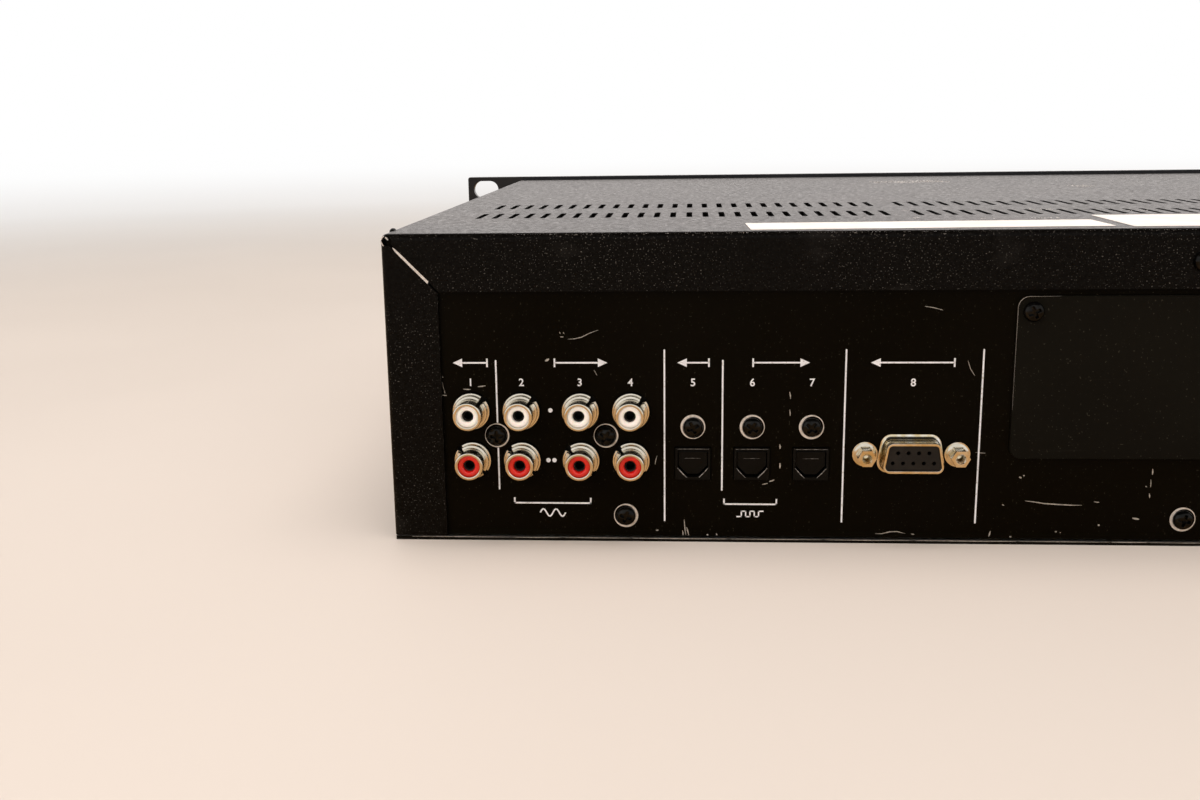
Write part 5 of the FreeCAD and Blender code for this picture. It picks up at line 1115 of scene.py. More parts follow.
# ---- the case ----------------------------------------------------------------------------
@dataclass
class Case:
    """The cover with its folds and scars, the chassis and the two labels on top."""

    half_width: float = 216.0
    top: float = 86.6
    rear: float = 150.0
    sheet: float = 1.2
    # the bare strip beside the open fold line, and the burrs, from the corner inward and down
    bare_edge: tuple[Point2, ...] = ((3.3, 3.6), (3.95, 4.65), (4.95, 5.75), (8.75, 9.65), (12.55, 13.5),
                                     (12.85, 12.85), (9.1, 9.05), (5.6, 5.5), (3.9, 3.9))
    burrs: tuple[tuple[Point2, ...], ...] = (((0.35, 1.5), (0.55, 1.0), (1.15, 0.5)),
                                             ((1.55, 0.8), (1.9, 1.15), (2.25, 1.6)),
                                             ((0.2, 1.9), (0.5, 2.5), (0.95, 3.2)))
    label_spots: tuple[Point3, ...] = ((67.7, 132.8, 2.1), (-15.2, 123.7, 0.2))  # X, Y and turn
    label_sizes: tuple[Point2, ...] = ((97.0, 21.6), (60.0, 39.8))
    # scraped places on top as (X, Y, width, depth)
    marks: tuple[Point4, ...] = (
        (22.5, 78.2, 8.0, 3.0), (30.0, 112.0, 9.0, 3.5), (66.0, 108.0, 3.0, 4.0), (65.0, 78.0, 2.0, 5.0),
        (46.8, 112.4, 5.0, 2.0), (-4.0, 86.0, 7.0, 2.0), (80.0, 104.0, 3.0, 1.5))
    smears: tuple[Point4, ...] = (
        (33.0, -97.0, 25.0, 17.0), (50.0, -95.0, 6.0, 12.0), (-25.0, -50.0, 8.0, 12.0))

    def build(self, bench: Bench) -> None:
        """Makes the case's pieces.

        Args:
            bench: The bench.
        """
        bench.soften("top_cover", POWDER_COAT, 0.22)
        self.chassis(bench)
        bench.paint("front_chassis", ZINC_SHEET)
        self.fold_lines(bench)
        self.worn_foot(bench)
        self.labels(bench)
        self.scars(bench)

    def chassis(self, bench: Bench) -> None:
        """The chassis pan: bare zinc inside, with dark matte enamel on its faces along the bottom that don't
        face up.

        Args:
            bench: The bench.
        """
        pan = bench.soften("bottom_chassis", ZINC_SHEET, 0.15, 1)
        pan.data.materials.append(MATTE_ENAMEL.material())
        limit = (self.sheet + 0.01) * MM
        for polygon in pan.data.polygons:
            low = all(pan.data.vertices[i].co.z < limit for i in polygon.vertices)
            if low and polygon.normal.z < 0.5:
                polygon.material_index = 1

    def fold_lines(self, bench: Bench) -> None:
        """Bare steel along the open line at each upper rear corner, and burrs round its hole.

        Args:
            bench: The bench.
        """
        shaper = Shaper()
        for side in (-1, 1):
            frame = Facing.REAR.at(0, self.rear, 0)
            edge = [(-side * (self.half_width - x), self.top - z) for x, z in self.bare_edge]
            shaper.prism(edge, frame, -0.3, 0.05)
            for burr in self.burrs:
                path = [(-side * (self.half_width - x), self.top - z) for x, z in burr]
                shaper.prism(stroke(path, 0.34), frame, -0.75, 0.05)
        bench.add(shaper.cast("bare_fold_lines", BARE_STEEL), slot="bright_steel")

    def worn_foot(self, bench: Bench) -> None:
        """A grey line along the upper corner of the bottom plate: partly worn paint, partly a painted
        highlight on that edge.

        Args:
            bench: The bench.
        """
        shaper = Shaper()
        draw = random.Random(6)
        x = self.half_width - 5.0
        while x > 20.0 - self.half_width:
            length = draw.uniform(9.0, 34.0)
            path = [(-x, 0.92), (-(x - length / 2), 0.9 + draw.uniform(-0.04, 0.04)), (-(x - length), 0.92)]
            # each stroke is worn paint and a painted highlight along the plate's upper edge
            shaper.prism(stroke(path, draw.uniform(0.12, 0.26)), Facing.REAR.at(0, 149.6, 0), -0.1, 0.03)
            x -= length - 1.0
        bench.add(shaper.cast("worn_foot_line", SCRAPES_AND_EDGE_HIGHLIGHT), slot="zinc_steel")

    def labels(self, bench: Bench) -> None:
        """Two blank paper labels, one a little askew.

        Args:
            bench: The bench.
        """
        shaper = Shaper()
        for (x, y, turn), (width, depth) in zip(self.label_spots, self.label_sizes):
            shaper.prism(oblong(width, depth, 0.8), Facing.TOP.at(x, y, self.top, turn), 0.01, 0.12)
        bench.add(shaper.cast("blank_labels", LABEL_PAPER, 0.03))

    def scars(self, bench: Bench) -> None:
        """Flakes knocked off the coat along the rear fold and round some vents, and a lump on one edge.

        Args:
            bench: The bench.
        """
        fold = [((x0 + x1) / 2, self.rear - 0.45, x1 - x0, 0.5)
                for x0, x1 in ((-215, -40), (-40, 30), (60, 180))]
        self.strew(bench, "flakes_on_rear_fold", fold, 0.36, 0.0, 1.2e6, 0.15, 3)
        self.strew(bench, "flakes_by_vents", self.marks, 0.02, 0.0, 2.2e5, 0.55, 8)
        self.strew(bench, "chalky_smears", self.smears, 0.02, 12.0, 3.2e5, 0.6, 9)
        lump = Shaper()
        lump.turned([(0.0, 1.05), (0.45, 0.98), (0.8, 0.6), (0.9, 0.0), (0.7, -0.5), (0.0, -0.5)],
                    Facing.TOP.at(self.half_width - 0.95, self.rear - 12.6, self.top - 0.45)
                    @ Matrix.Diagonal((1.0, 2.6, 1.0, 1.0)), 14)
        bench.add(lump.cast("coat_lump", SATIN_ENAMEL), slot="textured_black_steel")

    def strew(self, bench: Bench, name: str, places: Sequence[Point4], drop: float, turn: float,
              density: float, flake: float, seed: int) -> None:
        """Strews bare flakes over oblong places on the cover.

        Args:
            bench: The bench.
            name: The piece's name.
            places: Middle X, middle Y, width and depth of each.
            drop: How far below the cover's top they lie, in millimetres.
            turn: Degrees that each is turned.
            density: How many flakes to the square metre.
            flake: Half the largest flake, in millimetres.
            seed: Fixes where they fall.
        """
        strip = Shaper()
        for x, y, width, depth in places:
            strip.prism(oblong(width, depth), Facing.TOP.at(x, y, self.top - drop, turn), 0.0, 0.02)
        base = strip.cast("strip", BARE_STEEL)
        mesh = base.data
        bpy.data.objects.remove(base)
        flakes = bench.chips.run(name, mesh, {
            "Per Square Metre": density, "Flake": flake * MM, "Seed": seed,
            "Finish": BARE_STEEL.material()})
        bench.add(flakes, slot="bright_steel")


# ---- the jack panel ----------------------------------------------------------------------
@dataclass
class Screws:
    """Every cross-recess screw of the case, and the rings of bare steel that some sit in."""

    radius: float = 2.75
    height: float = 1.8
    recess: Point2 = (1.75, 0.5)  # half the cross's span and half its width
    recess_depth: float = 1.35
    recess_taper: Point2 = (0.78, 1.04)  # the cross's size at its floor and above its mouth
    ring_radius: float = 3.42
    panel_y: float = 148.65
    flange_y: float = 150.05
    plate_y: float = 149.75
    inlet_y: float = 151.35
    # screws with a bare ring, as (X, Z, the ring's width, the side where it is wider in degrees); the wider
    # side is a painted highlight
    ringed: tuple[Point4, ...] = (
        (185.8, 30.4, 0.28, -15.0), (155.3, 30.4, 0.3, -25.0), (131.2, 33.0, 0.45, 120.0),
        (114.9, 33.0, 0.42, 160.0), (98.7, 33.0, 0.5, 205.0), (149.9, 7.3, 0.48, -20.0),
        (-2.6, 7.3, 0.5, 190.0), (-149.9, 7.3, 0.4, 70.0))
    plain: tuple[Point3, ...] = ((41.1, plate_y, 64.9), (-60.9, plate_y, 64.9), (-9.9, plate_y, 28.7),
                                 (-1.5, flange_y, 78.0), (-150.0, inlet_y, 36.0), (-190.0, inlet_y, 36.0))
    sides: tuple[Point3, ...] = ((216.05, -110.0, 8.2), (216.05, 110.0, 8.2), (-216.05, -110.0, 8.2),
                                 (-216.05, 110.0, 8.2))

    def build(self, bench: Bench) -> None:
        """Makes the screws and their rings.

        Args:
            bench: The bench.
        """
        spots = [(Facing.REAR.at(x, self.panel_y, z, 11 * k), 1.0)
                 for k, (x, z, _, _) in enumerate(self.ringed)]
        spots += [(Facing.REAR.at(*place, 17 * k), 1.0) for k, place in enumerate(self.plain)]
        spots += [(Facing.LEFT.at(*p) if p[0] > 0 else Facing.RIGHT.at(*p), 1.0) for p in self.sides]
        screws = bench.set_out("cross_screws", self.head(), spots, BLACK_OXIDE, 45.0, 5)
        bench.add(screws, slot="black_screw", replaces=["screws"])
        self.rings(bench)

    def head(self) -> Object:
        """One pan head with a tapered cross recess and the start of its shank.

        Returns:
            The screw.
        """
        shaper = Shaper()
        r, h = self.radius, self.height
        profile = [(0.0, h), (0.9, h - 0.02), (1.6, h - 0.12), (2.15, h - 0.34), (2.5, h - 0.7),
                   (2.68, h - 1.15), (r, h - 1.6), (r - 0.06, 0.0), (1.4, 0.0), (1.4, -2.0), (0.0, -2.0)]
        shaper.turned(profile, UPRIGHT, 40)
        head = shaper.cast("head", BLACK_OXIDE)
        cutter = Shaper()
        floor, mouth = (self.cross(share) for share in self.recess_taper)
        cutter.prism(floor, UPRIGHT, h - self.recess_depth, h + 0.1, mouth)
        tool = cutter.cast("recess", BLACK_OXIDE)
        cut = head.modifiers.new("recess", "BOOLEAN")
        cut.object, cut.operation, cut.solver = tool, "DIFFERENCE", "EXACT"
        exchange(head)
        bpy.data.objects.remove(tool)
        ease(head, 0.07, 2)
        return head

    def cross(self, share: float) -> list[Point2]:
        """The cross's outline at a share of its full size.

        Args:
            share: That share.

        Returns:
            Its corners.
        """
        a, b = self.recess[0] * share, self.recess[1] * (0.55 + 0.45 * share)
        return [(b, -b), (a, -b * 0.8), (a, b * 0.8), (b, b), (b * 0.8, a), (-b * 0.8, a), (-b, b),
                (-a, b * 0.8), (-a, -b * 0.8), (-b, -b), (-b * 0.8, -a), (b * 0.8, -a)]

    def rings(self, bench: Bench) -> None:
        """Rings where the panel's paint was masked off under the screws, wider on one side as a painted
        highlight.

        Args:
            bench: The bench.
        """
        shaper = Shaper()
        for x, z, width, side in self.ringed:
            # the hole is shifted so that the ring's wider side is a painted highlight
            highlight_lean = width * 0.6
            dx, dz = math.cos(math.radians(side)) * highlight_lean, math.sin(math.radians(side)) * highlight_lean
            outer = ring(self.ring_radius, 48)
            inner = [(a - dx, b - dz) for a, b in ring(self.ring_radius - width, 48)]
            shaper.hoop(outer, inner, Facing.REAR.at(x, self.panel_y - 0.05, z), -0.02, 0.05)
        bench.add(shaper.cast("bare_screw_rings", BARE_STEEL), slot="bright_steel")


@dataclass
class JackPanel:
    """The painted panel with its printed lines and marks, and its scratches."""

    face: float = 148.6
    # each printed line as (X, low Z, high Z)
    lines: tuple[Point3, ...] = ((185.6, 14.7, 26.9), (185.6, 34.0, 51.8), (139.05, 5.7, 54.7),
                                 (123.1, 14.7, 51.8), (89.8, 5.7, 54.7), (53.2, 5.7, 54.7))
    line_width: float = 0.45
    # headings as (middle X, width, True for signals going in)
    headings: tuple[tuple[float, float, bool], ...] = ((192.8, 9.5, True), (162.0, 14.6, False),
                                                       (131.2, 8.6, True), (107.2, 15.4, False),
                                                       (72.0, 22.3, True))
    heading_z: float = 51.0
    arrow_head: Point2 = (2.6, 1.2)  # its length and half its width
    numbers: tuple[float, ...] = (192.8, 178.6, 162.4, 148.4, 131.2, 115.0, 98.8, 71.6)
    number_z: float = 45.4
    number_height: float = 2.1
    rows: tuple[tuple[float, int], ...] = ((37.6, 1), (23.3, 2))  # Z of each row, and its dots
    row_x: float = 170.7
    dot_pitch: float = 1.7
    brackets: tuple[Point2, ...] = ((170.6, 22.0), (115.2, 15.0))  # middle X and width
    bracket_z: float = 9.2
    # each scratch as its width, and then X and Z of the points along it
    nicks: tuple[tuple[float, ...], ...] = (
        (0.2, 165.5, 57.6, 163.7, 57.7, 161.8, 58.1, 159.4, 59.2, 157.1, 60.1),
        (0.2, 167.7, 59.6, 167.6, 59.1), (0.3, 167.6, 58.2, 166.6, 58.2), (0.18, 166.6, 59.5, 166.5, 59.0),
        (0.16, 200.7, 45.5, 200.5, 44.2, 200.3, 43.4), (0.26, 200.3, 43.2, 200.1, 42.4),
        (0.3, 201.2, 41.9, 199.6, 41.8), (0.3, 200.6, 47.2, 200.5, 46.8), (0.32, 194.9, 43.6, 192.8, 43.5),
        (0.34, 190.8, 44.3, 188.6, 44.6), (0.66, 171.9, 51.5, 170.8, 52.1),
        (0.16, 158.4, 49.0, 157.9, 48.2, 157.6, 47.5), (0.2, 141.1, 24.7, 141.5, 23.4, 141.7, 22.2),
        (0.3, 104.8, 42.9, 104.6, 41.0), (0.26, 104.7, 37.9, 104.6, 36.2), (0.42, 107.3, 28.1, 107.2, 26.8),
        (0.44, 107.1, 22.7, 107.1, 21.2), (0.34, 112.0, 16.6, 110.4, 16.9),
        (0.36, 110.0, 17.4, 108.6, 17.9), (0.3, 133.6, 6.2, 133.3, 3.0, 133.1, 1.6),
        (0.36, 132.9, 4.0, 132.3, 1.6), (0.3, 134.0, 3.0, 133.9, 1.6), (0.4, 141.5, 3.0, 140.8, 3.1),
        (0.5, 127.2, 2.0, 126.9, 1.6), (0.35, 124.6, 2.2, 124.4, 1.6),
        (0.26, 80.4, 2.5, 78.6, 2.5, 76.3, 3.1, 74.4, 3.2, 72.1, 2.6), (0.32, 70.5, 2.5, 69.6, 2.4),
        (0.2, 69.4, 66.3, 67.0, 65.9, 64.6, 65.2), (0.16, 57.4, 51.6, 56.5, 49.2, 55.3, 47.4),
        (0.18, 54.0, 26.0, 51.4, 25.8), (0.42, 49.3, 1.9, 48.9, 3.5), (0.5, 41.9, 19.1, 41.3, 18.8),
        (0.4, 40.8, 19.6, 40.5, 19.4),
        (0.3, 40.0, 12.3, 37.5, 12.0, 34.6, 11.6, 31.0, 11.3, 27.5, 11.2, 24.6, 11.2),
        (0.3, 46.0, 11.2, 45.6, 11.0), (0.24, 21.4, 12.2, 20.0, 12.0), (0.34, 6.5, 21.6, 6.4, 20.0),
        (0.22, 6.7, 18.6, 6.6, 16.4), (0.3, 6.8, 14.6, 6.6, 13.4), (0.34, 8.0, 16.7, 7.6, 16.5),
        (0.55, 10.8, 7.6, 9.0, 7.3), (0.5, 19.9, 5.6, 19.4, 5.4), (0.5, 43.6, 2.0, 43.0, 1.9),
        (0.45, 31.4, 3.5, 30.8, 3.6), (0.3, 30.0, 3.3, 29.7, 3.3),
        (0.22, -20.0, 14.0, -26.0, 12.6, -31.0, 12.4), (0.25, -95.0, 60.0, -101.0, 62.0),
        (0.22, -120.0, 20.0, -121.0, 15.0), (0.2, -142.0, 66.0, -139.0, 70.0),
        (0.26, -186.0, 12.0, -180.0, 11.0))

    def build(self, bench: Bench) -> None:
        """Makes the panel, its print and its scratches.

        Args:
            bench: The bench.
        """
        bench.soften("rear_panel", SATIN_ENAMEL, 0.12)
        self.print(bench)
        self.scratches(bench)

    def spot(self, x: float, z: float) -> Matrix:
        """The frame of a mark on the panel's face."""
        return Facing.REAR.at(x, self.face, z)

    def print(self, bench: Bench) -> None:
        """Lines between the groups of jacks, arrows for headings, and plain numbers.

        Args:
            bench: The bench.
        """
        ink = Print()
        for x, low, high in self.lines:
            ink.mark(oblong(self.line_width, high - low, 0.2, 2), self.spot(x, (low + high) / 2))
        for x, width, inward in self.headings:
            self.arrow(ink, x, width, inward)
        for k, x in enumerate(self.numbers, 1):
            ink.figures(str(k), self.number_height, self.spot(x, self.number_z))
        for z, dots in self.rows:
            for k in range(dots):
                ink.mark(ring(0.62, 16), self.spot(self.row_x + (k - (dots - 1) / 2) * self.dot_pitch, z))
        for x, width in self.brackets:
            self.bracket(ink, x, width)
        bench.add(ink.cast("panel_print", WHITE_INK))

    def arrow(self, ink: Print, x: float, width: float, inward: bool) -> None:
        """One arrow, pointing at its jacks for signals going in and away for signals coming out.

        Args:
            ink: Collects it.
            x: Its middle.
            width: Its full length.
            inward: Which way it points.
        """
        way = -1 if inward else 1
        half = width / 2
        head, wide = self.arrow_head
        frame = self.spot(x, self.heading_z)
        ink.mark(block(-way * half, -0.22, way * (half - head), 0.22), frame)
        ink.mark([(way * (half - head), -wide), (way * half, 0.0), (way * (half - head), wide)], frame)
        ink.mark(block(-way * half - 0.2, -wide, -way * half + 0.25, wide), frame)

    def bracket(self, ink: Print, x: float, width: float) -> None:
        """A bracket that gathers a group of jacks, with a small sign under it.

        Args:
            ink: Collects it.
            x: Its middle.
            width: Its full width.
        """
        frame = self.spot(x, self.bracket_z)
        half, line = width / 2, self.line_width
        ink.mark(block(-half, 1.4, half, 1.85), frame)
        ink.mark(block(-half, 1.4, line - half, 3.2), frame)
        ink.mark(block(half - line, 1.4, half, 3.2), frame)
        if width > 18:
            wave = [(-3.6 + 0.4 * k, -1.2 + 1.1 * math.sin(k * 0.698)) for k in range(19)]
            ink.mark(stroke(wave, 0.42, False), frame)
            return
        steps = [(-3.6, -2.0), (-2.4, -2.0), (-2.4, -0.4), (-1.2, -0.4), (-1.2, -2.0), (0.0, -2.0),
                 (0.0, -0.4), (1.2, -0.4), (1.2, -2.0), (2.4, -2.0), (2.4, -0.4), (3.6, -0.4)]
        for (ax, az), (bx, bz) in zip(steps, steps[1:]):
            middle = Matrix.Translation(((ax + bx) / 2, (az + bz) / 2, 0))
            ink.mark(oblong(abs(bx - ax) + 0.36, abs(bz - az) + 0.36), frame @ middle)

    def scratches(self, bench: Bench) -> None:
        """Nicks and scratches through the paint, as slivers of the steel under it.

        Args:
            bench: The bench.
        """
        shaper = Shaper()
        draw = random.Random(4)
        for width, *path in self.nicks:
            shaken = [(-(x + draw.uniform(-0.04, 0.04)), z + draw.uniform(-0.04, 0.04))
                      for x, z in zip(path[::2], path[1::2])]
            if len(shaken) == 2:
                (ax, az), (bx, bz) = shaken
                shaken.insert(1, ((ax + bx) / 2 + 0.05, (az + bz) / 2 - 0.04))
            shaper.prism(stroke(shaken, width), Facing.REAR.at(0, self.face, 0), 0.008, 0.025)
        bench.add(shaper.cast("paint_scratches", SCRAPES_AND_EDGE_HIGHLIGHT), slot="bright_steel")


@dataclass
class PhonoJacks:
    """Eight phono jacks: turned shells with notched flanges, and their coloured inserts."""

    xs: tuple[float, ...] = (192.8, 178.8, 162.3, 148.3)
    zs: Point2 = (37.4, 23.4)
    face: float = 148.6
    bore: float = 3.3

    def build(self, bench: Bench) -> None:
        """Makes the shells, inserts, contacts and the bodies behind the panel.

        Args:
            bench: The bench.
        """
        upper, lower = ([(Facing.REAR.at(x, self.face, z), 1.0) for x in self.xs] for z in self.zs)
        for name, part, spots, finish, slot, node in (
                ("phono_shells_upper", self.shell((45,)), upper, NICKEL, "nickel", "rca_shells"),
                ("phono_shells_lower", self.shell((135, -45)), lower, NICKEL, "nickel", "rca_shells"),
                ("phono_inserts_white", self.insert(), upper, IVORY_NYLON, "white_plastic",
                 "rca_inserts_white"),
                ("phono_inserts_red", self.insert(), lower, RED_NYLON, "red_plastic", "rca_inserts_red")):
            bench.add(bench.set_out(name, part, spots, finish), slot=slot, replaces=[node])
        # the contacts are dark phenolic: painted shade in the deep bores
        bench.add(bench.set_out("phono_contacts", self.contact(), upper + lower, BLACK_PHENOLIC),
                  slot="black_plastic")
        bench.paint("rca_bodies", BLACK_ABS)

    def shell(self, notches: Sequence[float]) -> Object:
        """One shell: rolled lip, barrel, collar and a flange with its notches.

        Args:
            notches: Degrees at which the flange is notched.

        Returns:
            The shell, about the origin.
        """
        profile = [(self.bore, -1.15), (self.bore, 7.5), (3.1, 7.72), (3.03, 7.92), (3.1, 8.1),
                   (3.28, 8.19), (3.5, 8.2), (3.72, 8.16), (3.88, 8.04), (3.96, 7.82), (3.98, 3.2),
                   (4.0, 2.8), (4.04, 2.66), (4.14, 2.6), (4.46, 2.6), (4.6, 2.54), (4.68, 2.4),
                   (4.7, 2.2), (4.7, 1.12), (4.73, 1.03), (4.8, 1.0), (4.98, 1.0), (5.1, 0.96),
                   (5.18, 0.84), (5.2, 0.66), (5.2, -0.35), (4.6, -0.4), (4.6, -1.15)]
        shaper = Shaper()
        shaper.turned(profile, UPRIGHT, 72, notches, (3.6, 8.0, 2.7))
        return shaper.cast("shell", NICKEL)

    def insert(self) -> Object:
        """One insert: a thick ring with a dished face, about the origin.

        Returns:
            The insert.
        """
        r = self.bore - 0.06
        profile = [(1.6, 0.75), (1.6, 6.9), (1.63, 7.2), (1.73, 7.42), (1.9, 7.58), (2.15, 7.66),
                   (2.5, 7.69), (2.8, 7.68), (3.0, 7.62), (3.14, 7.46), (r, 7.2), (r, -1.1),
                   (1.0, -1.1), (1.0, 0.75)]
        shaper = Shaper()
        shaper.turned(profile, UPRIGHT, 56)
        return shaper.cast("insert", IVORY_NYLON)

    def contact(self) -> Object:
        """The split tube deep inside an insert, closed at its back, made dark as painted shade in the deep
        bore.

        Returns:
            The contact.
        """
        profile = [(0.0, 0.95), (1.15, 0.95), (1.15, 6.1), (1.3, 6.3), (1.58, 6.35), (1.58, 0.8), (0.0, 0.8)]
        shaper = Shaper()
        shaper.turned(profile, UPRIGHT, 24)
        return shaper.cast("contact", BLACK_PHENOLIC)


@dataclass
class OpticalJacks:
    """Three optical jacks with their sprung shutters, and pale lines on their edges that are painted
    highlights.
    """

    xs: tuple[float, ...] = (131.2, 114.9, 98.7)
    middle_z: float = 22.6
    face: float = 149.4
    shutter_face: float = 148.2
    mouth: Point2 = (8.4, 7.6)
    chamfer: float = 2.4

    def build(self, bench: Bench) -> None:
        """Makes the jacks and shutters.

        Args:
            bench: The bench.
        """
        bench.soften("optical_jacks", BLACK_ABS, 0.22, 3)
        for number in range(1, len(self.xs) + 1):
            bench.soften(f"optical_shutter_{number}", BLACK_ABS, 0.1)
        # pale strokes on each mouth's lower chamfers and along its top edge: painted highlights
        shaper = Shaper()
        half, rise = self.mouth[0] / 2, self.mouth[1] / 2
        for k, x in enumerate(self.xs):
            frame = Facing.REAR.at(x, self.face, self.middle_z)
            for side in (-1, 1):
                highlight_width = 0.16 + 0.05 * ((k + side) % 3)
                path = [(side * (half + 0.05), -rise + self.chamfer + 0.25),
                        (side * (half - self.chamfer / 2), -rise + self.chamfer / 2 - 0.02),
                        (side * (half - self.chamfer - 0.1), -rise - 0.1)]
                shaper.prism(stroke(path, highlight_width), frame, -0.2, 0.01)
            path = [(-half - 0.3, rise + 0.42), (0.0, rise + 0.46), (half + 0.3, rise + 0.42)]
            shaper.prism(stroke(path, 0.09), frame, -0.1, 0.008)
        bench.add(shaper.cast("rubbed_edges", PAINTED_HIGHLIGHT_ABS), slot="black_plastic")
        # a pale line across each shutter: a painted highlight
        for number, x in enumerate(self.xs, 1):
            line = Shaper()
            path = [(-2.2, 1.3), (0.0, 1.33), (2.2, 1.3)]
            line.prism(stroke(path, 0.08), Facing.REAR.at(x, self.shutter_face, self.middle_z), -0.1, 0.012)
            bench.add(line.cast(f"shutter_line_{number}", PAINTED_HIGHLIGHT_ABS), f"optical_shutter_{number}",
                      "black_plastic")


@dataclass
class ControlPort:
    """The nine-way socket: a drawn shell with a flared foot, its insulator and two jackscrews."""

    middle: Point2 = (71.55, 25.6)
    spacing: float = 25.0
    face: float = 148.65
    washer: Point2 = (3.45, 0.8)
    threads: int = 9
    pitch: float = 0.55
    shell: Point2 = (16.9, 8.4)
    slope: float = 10.0  # degrees that the shell's sides lean
    corner: float = 1.8
    flare: float = 1.2  # radius of the foot where the shell is drawn

    def build(self, bench: Bench) -> None:
        """Makes the port's pieces.

        Args:
            bench: The bench.
        """
        bench.soften("dsub_shell", YELLOW_CHROMATE, 0.3, 4)
        bench.soften("dsub_insulator", BLACK_PHENOLIC, 0.08)
        bench.soften("dsub_jackscrews", YELLOW_CHROMATE, 0.25, 3)
        rings, bores = Shaper(), Shaper()
        for side in (-1, 1):
            frame = Facing.REAR.at(self.middle[0] + side * self.spacing / 2, self.face, self.middle[1])
            radius, height = self.washer
            rings.turned([(2.0, height - 0.1), (2.0, height + 0.3), (2.5, height + 0.24),
                          (radius - 0.3, height - 0.02), (radius - 0.06, height - 0.16),
                          (radius + 0.03, height - 0.34), (radius + 0.03, 0.1), (radius - 0.3, 0.02)],
                         frame, 48)
            bores.turned(self.thread(), frame, 24)
        bench.add(rings.cast("jackscrew_washers", NICKEL, 0.04), slot="nickel")
        bench.add(bores.cast("jackscrew_threads", YELLOW_CHROMATE), slot="nickel")
        bench.add(self.foot(), slot="yellow_zinc")

    def outline(self, grow: float) -> list[Point2]:
        """The D outline, wide side down, grown all round.

        Args:
            grow: By how many millimetres.

        Returns:
            Its corners.
        """
        foot, rise = self.shell[0] / 2 + grow, self.shell[1] / 2 + grow
        top = foot - 2 * rise * math.tan(math.radians(self.slope))
        return rounded([(-foot, -rise), (foot, -rise), (top, rise), (-top, rise)], self.corner + grow, 8)

    def foot(self) -> Object:
        """The flared foot between the shell and the panel.

        Returns:
            The foot.
        """
        rows = []
        for k in range(9):
            angle = math.pi / 2 * k / 8
            reach = self.outline(self.flare * (1.02 - math.sin(angle)))
            rows.append((reach, self.flare * (1 - math.cos(angle))))
        bore = self.outline(-0.3)
        rows += [(bore, self.flare), (bore, -0.1), (self.outline(self.flare), -0.1)]
        shaper = Shaper()
        shaper.sleeve(rows, Facing.REAR.at(self.middle[0], self.face, self.middle[1]))
        return shaper.cast("control_shell_foot", YELLOW_CHROMATE)

    def thread(self) -> list[Point2]:
        """The section of a threaded hole with a thin floor.

        Returns:
            The section.
        """
        section = [(0.0, 1.02), (1.1, 1.02)]
        for k in range(self.threads):
            section += [(1.36, 1.2 + self.pitch * k), (1.14, 1.2 + self.pitch * (k + 0.5))]
        top = 1.2 + self.pitch * self.threads
        return section + [(1.36, top), (1.41, top), (1.41, 1.0), (0.0, 1.0)]


@dataclass
class BlankPlate:
    """The plate that closes the option slots, with a thin pale line along its left edge and upper left
    corner.
    """

    left: float = 45.2
    high: float = 69.0
    face: float = 149.7
    corner: float = 3.0

    def build(self, bench: Bench) -> None:
        """Makes the plate and the thin bright line round its upper left corner.

        Args:
            bench: The bench.
        """
        bench.soften("option_plate", MATTE_ENAMEL, 0.16)
        shaper = Shaper()
        path = [(-self.left + 0.05, 38.0), (-self.left + 0.05, 50.0), (-self.left + 0.05, self.high - 4.0)]
        for k in range(6):
            angle = math.pi - math.pi / 2 * k / 5
            path.append((-self.left + self.corner + (self.corner - 0.05) * math.cos(angle),
                         self.high - self.corner + (self.corner - 0.05) * math.sin(angle)))
        path += [(-self.left + 6.0, self.high - 0.06), (-self.left + 11.0, self.high - 0.05)]
        shaper.prism(stroke(path, 0.1), Facing.REAR.at(0, self.face, 0), -0.06, 0.012)
        bench.add(shaper.cast("plate_worn_edge", SCRAPES_AND_EDGE_HIGHLIGHT), slot="zinc_steel")


@dataclass
class MainsInlet:
    """The mains inlet and its three blades."""

    narrow: float = 3.0  # only the blades are narrower than this

    def build(self, bench: Bench) -> None:
        """Makes the inlet, with bright blades in the black shell.

        Args:
            bench: The bench.
        """
        inlet = bench.soften("ac_inlet", BLACK_ABS, 0.3, 3)
        inlet.data.materials.append(NICKEL.material())
        self.brighten(inlet)

    def brighten(self, inlet: Object) -> None:
        """Gives the narrow loose shells of the inlet, which are its blades, a nickel finish.

        Args:
            inlet: The inlet.
        """
        shape = bmesh.new()
        shape.from_mesh(inlet.data)
        seen: set[bmesh.types.BMFace] = set()
        for start in shape.faces:
            if start in seen:
                continue
            island, queue = {start}, [start]
            while queue:
                face = queue.pop()
                for edge in face.edges:
                    for near in edge.link_faces:
                        if near not in island:
                            island.add(near)
                            queue.append(near)
            seen |= island
            xs = [v.co.x for face in island for v in face.verts]
            if max(xs) - min(xs) < self.narrow * MM:
                for face in island:
                    face.material_index = 1
        shape.to_mesh(inlet.data)
        shape.free()


# ---- the front ---------------------------------------------------------------------------
class Sign(Enum):
    """Plain signs that stand over the buttons."""

    STOP = "stop"
    PLAY = "play"
    OPEN = "open"
    RECORD = "record"
    POWER = "power"


@dataclass(frozen=True)
class Knob:
    """A knob: its node, its axis, the radius of its grip and how many ribs it has."""

    node: str
    x: float
    z: float
    radius: float
    ribs: int


LEVELS = (Knob("phones_knob", -172.0, 21.0, 8.0, 36), Knob("input_knob", 198.0, 21.0, 9.0, 40))
JOG = Knob("jog_dial", 198.0, 58.0, 12.5, 64)


